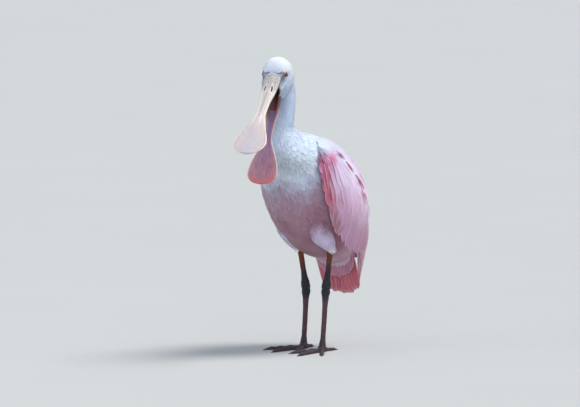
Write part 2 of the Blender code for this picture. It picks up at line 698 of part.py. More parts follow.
def main():
    clear_scene()
    torso = loft("torso", parted(body_rings(NECK_BASE, len(BODY_RIBS) - 1, 25), True, False))
    neck_lower = loft("neck_lower", parted(body_rings(NECK_PARTING, NECK_BASE, 8), True, True))
    neck_upper = loft("neck_upper", parted(body_rings(NECK_TOP, NECK_PARTING, 8), False, True))
    head = build_head()
    bill_upper, bill_lower = build_bill_upper(), build_bill_lower()
    eyes = [moved(build_eye(f"eye_{word}", side, EYE_RADIUS), head_matrix()) for word, side in SIDES.items()]
    clear_of(bill_upper, [head, *eyes])
    clear_of(bill_lower, [head, *eyes])
    clear_of(neck_upper, [head])
    tail = clear_of(build_tail(), [torso], "MANIFOLD")
    nodes = [
        (torso, "body", 0.8), (neck_lower, "neck", 0.8), (neck_upper, "neck", 0.8), (head, "head", 0.8),
        (bill_upper, "bill", 0.4), (bill_lower, "bill_lower", 0.4), (tail, "tail", 0.7),
        (eyes[0], "eye", 0.1), (eyes[1], "eye", 0.1),
    ]
    for word, side in SIDES.items():
        leg = LEGS[word]
        thigh = clear_of(build_thigh(f"thigh_{word}", side, leg), [torso])
        shank = clear_of(build_shank(f"shank_{word}", leg), [thigh, torso])
        wing = build_wing(f"wing_{word}", side, WING_REACH[word])
        clear_of(wing, [torso, neck_lower, thigh], "MANIFOLD")
        foot = build_foot(f"foot_{word}", side, leg)
        tarsus = clear_of(build_tarsus(f"tarsus_{word}", leg), [foot, shank])
        nodes += [
            (thigh, "body", 0.8), (shank, "tibia", 0.5), (wing, "wing", 0.7),
            (tarsus, "tarsus", 0.5), (foot, "tarsus", 0.5),
        ]
    bird = bpy.data.collections.new("roseate_spoonbill")
    bpy.context.scene.collection.children.link(bird)
    stance = bpy.data.objects.new("stance", None)
    stance.location = STANCE
    bird.objects.link(stance)
    for obj, colour, roughness in nodes:
        finish(obj, colour, roughness)
        move_to(obj, bird)
        obj.parent = stance


main()
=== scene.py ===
"""The looks of a life-size roseate spoonbill that stands with its bill open.

Lengths are in metres. Shapes are worked out about the point between the feet: X to the bird's left, Y behind
it and Z up. The whole is then set down at STANCE, where the solids stand.
"""
import json
import logging
import math
from collections.abc import Callable
from dataclasses import dataclass, field, replace
from enum import Enum

import bmesh
import bpy
import numpy as np
from mathutils import Matrix, Vector

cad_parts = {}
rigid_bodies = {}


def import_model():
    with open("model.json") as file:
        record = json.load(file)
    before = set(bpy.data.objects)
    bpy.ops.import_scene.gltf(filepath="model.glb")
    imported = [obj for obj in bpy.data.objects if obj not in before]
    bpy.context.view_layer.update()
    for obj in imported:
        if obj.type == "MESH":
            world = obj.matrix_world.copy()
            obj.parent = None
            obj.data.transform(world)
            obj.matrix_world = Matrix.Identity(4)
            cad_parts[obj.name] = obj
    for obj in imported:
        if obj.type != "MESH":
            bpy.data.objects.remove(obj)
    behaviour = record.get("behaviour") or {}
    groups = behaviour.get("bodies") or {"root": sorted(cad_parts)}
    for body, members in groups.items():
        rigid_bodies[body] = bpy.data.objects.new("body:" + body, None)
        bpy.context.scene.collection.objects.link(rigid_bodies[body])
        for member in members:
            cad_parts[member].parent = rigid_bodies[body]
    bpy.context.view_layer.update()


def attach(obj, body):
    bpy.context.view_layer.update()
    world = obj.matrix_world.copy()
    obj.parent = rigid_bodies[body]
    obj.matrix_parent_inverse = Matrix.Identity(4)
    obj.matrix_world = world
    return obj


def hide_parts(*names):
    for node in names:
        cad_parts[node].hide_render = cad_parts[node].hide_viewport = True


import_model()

Array = np.ndarray
Formula = Callable[[Array], Array]
Tree, Socket, Node = bpy.types.NodeTree, bpy.types.NodeSocket, bpy.types.Node
Material, Object = bpy.types.Material, bpy.types.Object
LOG = logging.getLogger("spoonbill")
STANCE = np.array([0.0, 0.068, 0.0])
LEFTWARDS, BACKWARDS, UPWARDS = np.eye(3)

# Ribs of neck and trunk, head end first: back (forward, up), front (forward, up), half width.
BODY_RIBS = [
    (0.0815, 0.4960, 0.1060, 0.4860, 0.0150),
    (0.0752, 0.4745, 0.1040, 0.4640, 0.0184),
    (0.0695, 0.4530, 0.1030, 0.4450, 0.0187),
    (0.0683, 0.428, 0.103, 0.424, 0.0186),
    (0.0708, 0.408, 0.107, 0.400, 0.0184),
    (0.0700, 0.391, 0.113, 0.376, 0.0183),
    (0.056, 0.378, 0.119, 0.346, 0.0310),
    (0.021, 0.371, 0.116, 0.304, 0.0505),
    (-0.013, 0.354, 0.101, 0.266, 0.0630),
    (-0.045, 0.330, 0.080, 0.232, 0.0700),
    (-0.072, 0.300, 0.054, 0.203, 0.0740),
    (-0.091, 0.262, 0.025, 0.179, 0.0740),
    (-0.099, 0.226, -0.005, 0.163, 0.0670),
    (-0.101, 0.194, -0.035, 0.153, 0.0500),
    (-0.095, 0.171, -0.056, 0.147, 0.0280),
    (-0.088, 0.155, -0.069, 0.142, 0.0110),
]
BODY_FULLNESS = 2.15

# Where the bill's top meets the forehead, and how far the head turns to the bird's left.
FOREHEAD = np.array([0.0060, -0.1270, 0.4836])
HEAD_TURN = math.radians(13)
# Ribs of the head from that point: crown (forward, up), throat (forward, up), half width and fullness.
HEAD_RIBS = [
    (-0.0500, 0.0010, -0.0490, -0.0130, 0.0070, 2.0),
    (-0.0470, 0.0110, -0.0465, -0.0250, 0.0160, 2.0),
    (-0.0385, 0.0195, -0.0415, -0.0340, 0.0220, 2.0),
    (-0.0255, 0.0245, -0.0340, -0.0410, 0.0248, 2.1),
    (-0.0120, 0.0225, -0.0250, -0.0445, 0.0250, 2.2),
    (-0.0040, 0.0140, -0.0175, -0.0450, 0.0240, 2.5),
    (0.0000, 0.0050, -0.0110, -0.0445, 0.0222, 2.9),
    (0.0015, -0.0040, -0.0070, -0.0430, 0.0192, 2.9),
    (0.0030, -0.0120, -0.0040, -0.0415, 0.0166, 2.7),
    (0.0035, -0.0200, -0.0035, -0.0410, 0.0152, 2.6),
]
# The mouth inside the head, in the same plane: its middle and its half sizes.
MOUTH_MIDDLE, MOUTH_HALF = (0.0, 0.0040, -0.0315), (0.0122, 0.0190, 0.0125)
# The trough over the lower bill's root, in that bill's plane.
THROAT_MIDDLE, THROAT_HALF = (0.0, -0.0160, -0.0080), (0.0124, 0.0260, 0.0096)
EYE_PLACE = np.array([0.0162, 0.0074, -0.0036])
EYE_LOOK = math.radians(25)

UPPER_PITCH = math.radians(44)
GAPE = math.radians(26.5)
JAW_PIVOT = (0.0, 0.0150, -0.0320)
JAW_TURN = math.radians(-0.7)
# Stations of each half of the bill: distance from the forehead, half width, top, underside.
UPPER_STATIONS = [
    (-0.0060, 0.0138, -0.0012, -0.0126),
    (0.0000, 0.0145, 0.0000, -0.0135),
    (0.0150, 0.0148, -0.0012, -0.0140),
    (0.0300, 0.0141, -0.0028, -0.0130),
    (0.0410, 0.0129, -0.0037, -0.0127),
    (0.0524, 0.0109, -0.0044, -0.0124),
    (0.0620, 0.0096, -0.0049, -0.0122),
    (0.0720, 0.0092, -0.0053, -0.0120),
    (0.0820, 0.0092, -0.0056, -0.0118),
    (0.0920, 0.0100, -0.0057, -0.0115),
    (0.1060, 0.0143, -0.0057, -0.0110),
    (0.1200, 0.0195, -0.0055, -0.0104),
    (0.1340, 0.0255, -0.0052, -0.0097),
    (0.1480, 0.0293, -0.0048, -0.0090),
    (0.1540, 0.0293, -0.0046, -0.0087),
    (0.1620, 0.0262, -0.0044, -0.0083),
    (0.1690, 0.0195, -0.0044, -0.0080),
    (0.1730, 0.0120, -0.0046, -0.0079),
    (0.1750, 0.0010, -0.0058, -0.0070),
]
LOWER_STATIONS = [
    (0.0060, 0.0108, -0.0150, -0.0205),
    (0.0140, 0.0119, -0.0150, -0.0215),
    (0.0240, 0.0126, -0.0150, -0.0215),
    (0.0360, 0.0127, -0.0150, -0.0210),
    (0.0470, 0.0122, -0.0149, -0.0204),
    (0.0580, 0.0102, -0.0148, -0.0198),
    (0.0710, 0.0078, -0.0146, -0.0192),
    (0.0840, 0.0064, -0.0142, -0.0186),
    (0.0970, 0.0073, -0.0137, -0.0179),
    (0.1100, 0.0118, -0.0130, -0.0171),
    (0.1230, 0.0180, -0.0122, -0.0162),
    (0.1360, 0.0233, -0.0113, -0.0152),
    (0.1455, 0.0259, -0.0107, -0.0145),
    (0.1545, 0.0271, -0.0101, -0.0138),
    (0.1620, 0.0256, -0.0097, -0.0132),
    (0.1690, 0.0205, -0.0094, -0.0127),
    (0.1730, 0.0135, -0.0093, -0.0124),
    (0.1750, 0.0010, -0.0104, -0.0114),
]

# Rails of the left wing, shoulder to tip: left, forward, up; and how far it swells between them.
WING_BACK_RAIL = [
    (0.042, 0.044, 0.369),
    (0.032, 0.014, 0.363),
    (0.023, -0.022, 0.352),
    (0.018, -0.055, 0.332),
    (0.016, -0.084, 0.302),
    (0.015, -0.101, 0.254),
    (0.016, -0.107, 0.200),
    (0.017, -0.106, 0.148),
    (0.0225, -0.098, 0.105),
]
WING_LOW_RAIL = [
    (0.051, 0.053, 0.350),
    (0.062, 0.064, 0.324),
    (0.0684, 0.0632, 0.2900),
    (0.0701, 0.0519, 0.2546),
    (0.0663, 0.0319, 0.2211),
    (0.0589, 0.0047, 0.1932),
    (0.0509, -0.0276, 0.1708),
    (0.0385, -0.064, 0.151),
    (0.0255, -0.094, 0.105),
]
WING_SWELL = [0.006, 0.014, 0.023, 0.033, 0.039, 0.034, 0.025, 0.013, 0.003]
# The wing's length and width, near enough to space small feathers by.
WING_LONG, WING_WIDE = 0.30, 0.11

TAIL_ROOT, TAIL_TIP = (-0.054, 0.184), (-0.095, 0.0905)


class Side(Enum):
    """The bird's own left and right."""

    LEFT = 1
    RIGHT = -1

    @property
    def word(self) -> str:
        """The side's name, as the pieces' names end."""
        return self.name.lower()


def at(left: float, forward: float, up: float) -> Array:
    """A point from how far it is to the bird's left, ahead and above the floor."""
    return np.array([left, -forward, up], float)


def unit(vectors: Array) -> Array:
    """The vectors at length one."""
    return vectors / np.maximum(np.linalg.norm(vectors, axis=-1, keepdims=True), 1e-12)


def smooth(low: float, high: float, values: Array) -> Array:
    """0 below low and 1 above high, with the cubic 3t^2 - 2t^3 between."""
    t = np.clip((np.asarray(values, float) - low) / (high - low), 0, 1)
    return t * t * (3 - 2 * t)


def bump(values: Array, middle: float, width: float) -> Array:
    """The bell exp(-((values - middle) / width)^2)."""
    return np.exp(-(((np.asarray(values, float) - middle) / width) ** 2))


def mix(first: Array, second: Array, share: Array) -> Array:
    """First moved towards second by the share of each place, over colours or points."""
    share = np.asarray(share, float)[..., None]
    return np.asarray(first, float) * (1 - share) + np.asarray(second, float) * share


def shade(red: int, green: int, blue: int) -> Array:
    """Linear colour from a screen colour of 0 to 255: ((c + 0.055) / 1.055)^2.4 over the toe."""
    screen = np.array([red, green, blue], float) / 255
    return np.where(screen < 0.04045, screen / 12.92, ((screen + 0.055) / 1.055) ** 2.4)


# Random values from -1 to 1 at the corners of a cube of cells, which repeats without end.
CELLS = 32
LATTICE = np.random.default_rng(99).random((CELLS, CELLS, CELLS)) * 2 - 1


def ripple(points: Array, size: float, seed: int, octaves: int = 2) -> Array:
    """A smooth random field from -1 to 1: random values on a lattice of that size, eased between its corners.

    Args:
        points: Places.
        size: The coarsest lattice's spacing.
        seed: Which part of the field.
        octaves: How many times it is added again at half the size and strength.

    Returns:
        One value for each place.
    """
    total, weight = np.zeros(points.shape[:-1]), 0.0
    for octave in range(octaves):
        grid = points / size * 2.0**octave + np.array([7.13, 3.71, 11.9]) * (seed + 5.3 * octave)
        low = np.floor(grid).astype(int)
        t = grid - low
        t = t * t * (3 - 2 * t)
        value = 0.0
        for corner in np.ndindex(2, 2, 2):
            share = np.prod(np.where(np.array(corner) == 1, t, 1 - t), -1)
            at_corner = (low + np.array(corner)) % CELLS
            value = value + share * LATTICE[at_corner[..., 0], at_corner[..., 1], at_corner[..., 2]]
        total += value * 0.5**octave
        weight += 0.5**octave
    return np.clip(1.5 * total / weight, -1, 1)


def spline(rows: list | Array, steps: Array) -> Array:
    """Points of a Catmull-Rom curve through the rows: step k is row k, and past its ends it runs straight."""
    rows = np.asarray(rows, float)
    steps = np.asarray(steps, float)
    padded = np.concatenate([2 * rows[:1] - rows[1:2], rows, 2 * rows[-1:] - rows[-2:-1]])
    first = np.clip(np.floor(steps).astype(int), 0, len(rows) - 2)
    t = (steps - first)[..., None]
    p0, p1, p2, p3 = (padded[first + k] for k in range(4))
    bend = (2 * p0 - 5 * p1 + 4 * p2 - p3) * t**2 + (3 * p1 - p0 - 3 * p2 + p3) * t**3
    return 0.5 * (2 * p1 + (p2 - p0) * t + bend)


def full_turn(sides: int) -> Array:
    """Angles in radians round a full turn, one for each side."""
    return np.linspace(0, 2 * math.pi, sides, endpoint=False)


def oval(centre: Array, tall: Array, wide: Array, turns: Array, fullness: float | Array) -> Array:
    """Rings centre + tall |cos|^(2/f) + wide |sin|^(2/f), with the signs of the cosine and sine.

    Args:
        centre: Middles, rows by 3.
        tall: Half axes towards turn 0, rows by 3.
        wide: Half axes towards a quarter turn, rows by 3.
        turns: Turns in radians, one for each side.
        fullness: The power f of each row, where 2 is an ellipse.

    Returns:
        Points, rows by sides by 3.
    """
    power = 2 / np.broadcast_to(fullness, len(centre))[:, None]
    cos, sin = np.cos(turns)[None], np.sin(turns)[None]
    up = np.sign(cos) * np.abs(cos) ** power
    out = np.sign(sin) * np.abs(sin) ** power
    return centre[:, None] + up[..., None] * tall[:, None] + out[..., None] * wide[:, None]


def grid_faces(rows: int, sides: int, closed: bool = True) -> Array:
    """Quads between neighbouring rows of a grid, wrapped round its sides where it is closed."""
    i, j = np.meshgrid(np.arange(rows - 1), np.arange(sides if closed else sides - 1), indexing="ij")
    k = (j + 1) % sides
    here, ahead = i * sides, (i + 1) * sides
    return np.stack([here + j, here + k, ahead + k, ahead + j], -1).reshape(-1, 4)


def place(matrix: Matrix, points: Array) -> Array:
    """The points moved by a matrix."""
    m = np.array(matrix)
    return points @ m[:3, :3].T + m[:3, 3]


def head_matrix() -> Matrix:
    """From the head's upright plane to the bird's."""
    return Matrix.Translation(FOREHEAD) @ Matrix.Rotation(HEAD_TURN, 4, "Z")


def upper_matrix() -> Matrix:
    """From the upper half of the bill laid flat to the bird's."""
    return head_matrix() @ Matrix.Rotation(UPPER_PITCH, 4, "X")


def lower_matrix() -> Matrix:
    """The same for the lower half, turned about the jaw's pivot by the gape."""
    pivot = Matrix.Translation(JAW_PIVOT)
    turn = Matrix.Rotation(GAPE, 4, "X") @ Matrix.Rotation(JAW_TURN, 4, "Z")
    return upper_matrix() @ pivot @ turn @ pivot.inverted()


def eye_matrix(side: Side) -> Matrix:
    """From an eye that looks along +Z to its place in the head."""
    spot = Matrix.Translation((side.value * EYE_PLACE[0], EYE_PLACE[1], EYE_PLACE[2]))
    turn = Matrix.Rotation(-side.value * EYE_LOOK, 4, "Z") @ Matrix.Rotation(side.value * math.pi / 2, 4, "Y")
    return head_matrix() @ spot @ turn


@dataclass
class Piece:
    """One object of the scene: its mesh as arrays, and how it is dressed.

    Attributes:
        name: The object's name.
        points: Points, any shape by 3, about the point between the feet.
        quads: Four point numbers for each face.
        finish: The material.
        caps: Point numbers of end faces that have any other number of corners.
        tints: A colour for each point, or None.
        own: A random number for each point, alike over one feather, or None.
        normals: Directions that the faces' corners shade in, or None for the mesh's own.
        maps: UV places of each point by map name.
        slot: The record's material slot; not used.
        stands_for: Solids that the piece replaces.
    """

    name: str
    points: Array
    quads: Array
    finish: Material
    caps: Array | None = None
    tints: Array | None = None
    own: Array | None = None
    normals: Array | None = None
    maps: dict[str, Array] = field(default_factory=dict)
    slot: str = ""
    stands_for: tuple[str, ...] = ()

    def make(self) -> Object:
        """Makes the object, at the origin and with its place in its mesh."""
        mesh = bpy.data.meshes.new(self.name)
        points = self.points.reshape(-1, 3) + STANCE
        corners = self.quads.reshape(-1)
        starts = np.arange(0, len(corners), 4)
        if self.caps is not None and len(self.caps):
            starts = np.concatenate([starts, len(corners) + np.arange(len(self.caps)) * self.caps.shape[1]])
            corners = np.concatenate([corners, self.caps.reshape(-1)])
        mesh.vertices.add(len(points))
        mesh.vertices.foreach_set("co", points.astype(np.float32).reshape(-1))
        mesh.loops.add(len(corners))
        mesh.loops.foreach_set("vertex_index", corners.astype(np.int32))
        mesh.polygons.add(len(starts))
        mesh.polygons.foreach_set("loop_start", starts.astype(np.int32))
        mesh.update(calc_edges=True)
        mesh.shade_smooth()
        for name, places in self.maps.items():
            layer = mesh.uv_layers.new(name=name)
            layer.data.foreach_set("uv", places.reshape(-1, 2)[corners].astype(np.float32).reshape(-1))
        if self.tints is not None:
            paint(mesh, self.tints)
        if self.own is not None:
            layer = mesh.attributes.new("Own", "FLOAT", "POINT")
            layer.data.foreach_set("value", self.own.astype(np.float32))
        if self.normals is not None:
            mesh.normals_split_custom_set(self.normals.astype(np.float32))
        mesh.materials.append(self.finish)
        return linked(self.name, mesh)

    def build(self) -> Object:
        """Makes the object and ties it to the frame."""
        obj = self.make()
        dress(obj, self.stands_for)
        return obj


def linked(name: str, data: bpy.types.ID) -> Object:
    """A new object of the scene with that data."""
    obj = bpy.data.objects.new(name, data)
    bpy.context.scene.collection.objects.link(obj)
    return obj


def paint(mesh: bpy.types.Mesh, tints: Array) -> None:
    """Keeps a colour for each point in the attribute Tint."""
    rgba = np.ones((len(mesh.vertices), 4), np.float32)
    rgba[:, :3] = np.clip(tints.reshape(-1, 3), 0, 1)
    mesh.color_attributes.new("Tint", "FLOAT_COLOR", "POINT").data.foreach_set("color", rgba.reshape(-1))


def lofted(name: str, grids: list[Array], finish: Material, tints: Array, slot: str,
           stands_for: tuple[str, ...] = ()) -> None:
    """Builds one piece of closed lofts, each through the rings of one grid, with a flat cap on each end.

    Args:
        name: The piece's name.
        grids: Rings of each loft, rows by sides by 3, all of one size.
        finish: The material.
        tints: A colour for each point.
        slot: The record's material slot.
        stands_for: Solids that the piece replaces.
    """
    rows, sides = grids[0].shape[:2]
    first = np.arange(len(grids))[:, None, None] * rows * sides
    quads = (first + grid_faces(rows, sides)[None, :, ::-1]).reshape(-1, 4)
    ends = np.stack([np.arange(sides), (rows - 1) * sides + np.arange(sides)[::-1]])
    caps = (first + ends[None]).reshape(-1, sides)
    Piece(name, np.stack(grids), quads, finish, caps, tints, slot=slot, stands_for=stands_for).build()


def dress(obj: Object, stands_for: tuple[str, ...]) -> None:
    """Ties a finished object to the frame and reports it."""
    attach(obj, "root")
    if stands_for:
        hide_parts(*stands_for)
    LOG.info("%s: %d faces", obj.name, len(obj.data.polygons))


class Group:
    """A shader node group in the making."""

    def __init__(self, name: str, inputs: dict[str, float], outputs: dict[str, str]) -> None:
        """Starts the group.

        Args:
            name: The group's name.
            inputs: Number inputs and their usual values.
            outputs: Outputs and their socket types.
        """
        self.tree = bpy.data.node_groups.new(name, "ShaderNodeTree")
        for word, value in inputs.items():
            socket = self.tree.interface.new_socket(word, in_out="INPUT", socket_type="NodeSocketFloat")
            socket.default_value = value
        for word, kind in outputs.items():
            self.tree.interface.new_socket(word, in_out="OUTPUT", socket_type=kind)
        self.given = self.tree.nodes.new("NodeGroupInput").outputs
        self.out = self.tree.nodes.new("NodeGroupOutput").inputs

    def node(self, kind: str, inputs: dict | None = None, **settings: str) -> Node:
        """Adds a node to the group."""
        return add_node(self.tree, kind, inputs, **settings)

    def math(self, operation: str, first: Socket | float, second: Socket | float = 0.0) -> Socket:
        """Adds a Math node and returns its result."""
        return self.node("ShaderNodeMath", {0: first, 1: second}, operation=operation).outputs[0]

    def end(self, word: str, socket: Socket) -> None:
        """Feeds one of the group's outputs."""
        self.tree.links.new(socket, self.out[word])


def add_node(tree: Tree, kind: str, inputs: dict | None = None, **settings: str | Tree) -> Node:
    """Adds a shader node.

    Args:
        tree: The tree that it goes in.
        kind: The node's type.
        inputs: Values, or sockets to link, by the input's name or number.
        settings: The node's own properties.

    Returns:
        The node.
    """
    node = tree.nodes.new(kind)
    for word, value in settings.items():
        setattr(node, word, value)
    for key, value in (inputs or {}).items():
        if isinstance(value, Socket):
            tree.links.new(value, node.inputs[key])
        else:
            node.inputs[key].default_value = value
    return node


def barbs_group() -> Tree:
    """Lengthwise silk and slanting barbs over a feather's own map: u across it and v along it.

    Streak is noise stretched along v. Height adds to it a sine of v plus the distance from the shaft.
    """
    group = Group(
        "Feather barbs",
        {"Across": 9.0, "Along": 0.9, "Barbs": 60.0, "Slant": 26.0},
        {"Streak": "NodeSocketFloat", "Height": "NodeSocketFloat"},
    )
    own = group.node("ShaderNodeAttribute", attribute_name="Own").outputs["Fac"]
    vane = group.node("ShaderNodeUVMap", uv_map="Vane").outputs[0]
    spot = group.node("ShaderNodeSeparateXYZ", {0: vane}).outputs
    shift = group.math("MULTIPLY", own, 37.0)
    grain = group.node("ShaderNodeCombineXYZ", {
        0: group.math("ADD", group.math("MULTIPLY", spot[0], group.given["Across"]), shift),
        1: group.math("MULTIPLY", spot[1], group.given["Along"]),
        2: shift,
    }).outputs[0]
    streak = group.node("ShaderNodeTexNoise", {"Vector": grain, "Scale": 1.0, "Detail": 3.0}).outputs["Fac"]
    aside = group.math("ABSOLUTE", group.math("SUBTRACT", spot[0], 0.5))
    run = group.math("ADD", group.math("MULTIPLY", spot[1], group.given["Barbs"]),
                     group.math("MULTIPLY", aside, group.math("MULTIPLY", group.given["Slant"], -1.0)))
    barb = group.math("SINE", group.math("ADD", run, group.math("MULTIPLY", streak, 7.0)))
    group.end("Streak", streak)
    group.end("Height", group.math("ADD", group.math("MULTIPLY", barb, 0.25), streak))
    return group.tree


def mottle_group() -> Tree:
    """Soft blotches and fine grain from noise in the object's own space."""
    group = Group(
        "Mottle",
        {"Blotch": 60.0, "Grain": 900.0},
        {"Blotches": "NodeSocketFloat", "Fine": "NodeSocketFloat"},
    )
    spot = group.node("ShaderNodeTexCoord").outputs["Object"]
    for word, scale in (("Blotches", "Blotch"), ("Fine", "Grain")):
        noise = group.node("ShaderNodeTexNoise", {"Vector": spot, "Scale": group.given[scale], "Detail": 4.0})
        group.end(word, noise.outputs["Fac"])
    return group.tree


def scutes_group() -> Tree:
    """Small many-sided scales: Seam is 1 in the furrows between cells, and Cell a grey of each one's own."""
    group = Group("Scutes", {"Scale": 420.0}, {"Seam": "NodeSocketFloat", "Cell": "NodeSocketFloat"})
    spot = group.node("ShaderNodeTexCoord").outputs["Object"]
    stretched = group.node("ShaderNodeMapping", {"Vector": spot, "Scale": (1.0, 1.0, 0.7)}).outputs[0]
    cells = {"Vector": stretched, "Scale": group.given["Scale"]}
    edge = group.node("ShaderNodeTexVoronoi", cells, feature="DISTANCE_TO_EDGE").outputs["Distance"]
    cell = group.node("ShaderNodeTexVoronoi", cells).outputs["Color"]
    seam = group.node("ShaderNodeMapRange", {0: edge, 1: 0.0, 2: 0.14, 3: 1.0, 4: 0.0}).outputs[0]
    group.end("Seam", seam)
    group.end("Cell", group.node("ShaderNodeSeparateColor", {0: cell}).outputs[0])
    return group.tree


@dataclass(frozen=True)
class Finish:
    """What every finish has: its name, and the shader's plain values."""

    name: str
    roughness: float = 0.7
    sheen: float = 0.0
    coat: float = 0.0
    specular: float = 0.4

    def start(self, effect: Tree, values: dict[str, float]) -> tuple[Material, Socket, dict[str, Socket]]:
        """Makes the material: a Principled shader with plain values, and beside it the tint and the effect.

        Args:
            effect: The node group that changes the finish over the surface.
            values: The group's own values.

        Returns:
            The material, the tint and the group's outputs.
        """
        material = bpy.data.materials.new(self.name)
        material.use_nodes = True
        tree = material.node_tree
        plain = {"Roughness": self.roughness, "Sheen Weight": self.sheen, "Sheen Roughness": 0.5,
                 "Coat Weight": self.coat, "Coat Roughness": 0.08, "Specular IOR Level": self.specular}
        for word, value in plain.items():
            tree.nodes["Principled BSDF"].inputs[word].default_value = value
        tint = add_node(tree, "ShaderNodeAttribute", attribute_name="Tint").outputs["Color"]
        return material, tint, add_node(tree, "ShaderNodeGroup", values, node_tree=effect).outputs

    def close(self, material: Material, colour: Socket, height: Socket, depth: float) -> Material:
        """Feeds the shader its colour and, where there is any depth, a height through a Bump node."""
        tree = material.node_tree
        given = tree.nodes["Principled BSDF"].inputs
        tree.links.new(colour, given["Base Color"])
        if depth:
            node = add_node(tree, "ShaderNodeBump", {"Height": height, "Strength": 1.0, "Distance": depth})
            tree.links.new(node.outputs[0], given["Normal"])
        return material


def scaled(tree: Tree, colour: Socket, value: Socket, low: float, high: float) -> Socket:
    """The colour times a grey that runs from low to high as the value runs from 0.3 to 0.7."""
    grey = add_node(tree, "ShaderNodeMapRange", {0: value, 1: 0.3, 2: 0.7, 3: low, 4: high}).outputs[0]
    inputs = {0: 1.0, 6: colour, 7: grey}
    return add_node(tree, "ShaderNodeMix", inputs, data_type="RGBA", blend_type="MULTIPLY").outputs[2]


@dataclass(frozen=True)
class Plumage(Finish):
    """Feathers: their own tint, streaked along by silk, with barbs in relief."""

    across: float = 6.0
    barbs: float = 40.0
    streak: float = 0.12
    depth: float = 0.0002

    def material(self, barbs: Tree) -> Material:
        """Makes the material with the barbs group."""
        material, tint, given = self.start(barbs, {"Across": self.across, "Barbs": self.barbs})
        colour = scaled(material.node_tree, tint, given["Streak"], 1 - self.streak, 1 + self.streak)
        return self.close(material, colour, given["Height"], self.depth)


@dataclass(frozen=True)
class Tinted(Finish):
    """Skin, horn and the eye: a tint worked out in mesh code, with blotches and grain over it."""

    blotch: float = 90.0
    grain: float = 1400.0
    change: float = 0.08
    depth: float = 0.0001

    def material(self, mottle: Tree) -> Material:
        """Makes the material with the mottle group."""
        material, tint, given = self.start(mottle, {"Blotch": self.blotch, "Grain": self.grain})
        colour = scaled(material.node_tree, tint, given["Blotches"], 1 - self.change, 1 + self.change)
        return self.close(material, colour, given["Fine"], self.depth)


@dataclass(frozen=True)
class Scaly(Finish):
    """Bare leg: a tint from mesh code, cut by dark furrows into small scales."""

    scale: float = 420.0
    depth: float = 0.0004

    def material(self, scutes: Tree) -> Material:
        """Makes the material with the scutes group."""
        material, tint, given = self.start(scutes, {"Scale": self.scale})
        tree = material.node_tree
        cells = scaled(tree, tint, given["Cell"], 0.85, 1.2)
        rise = add_node(tree, "ShaderNodeMath", {0: 1.0, 1: given["Seam"]}, operation="SUBTRACT").outputs[0]
        return self.close(material, scaled(tree, cells, rise, 0.6, 1.0), rise, self.depth)


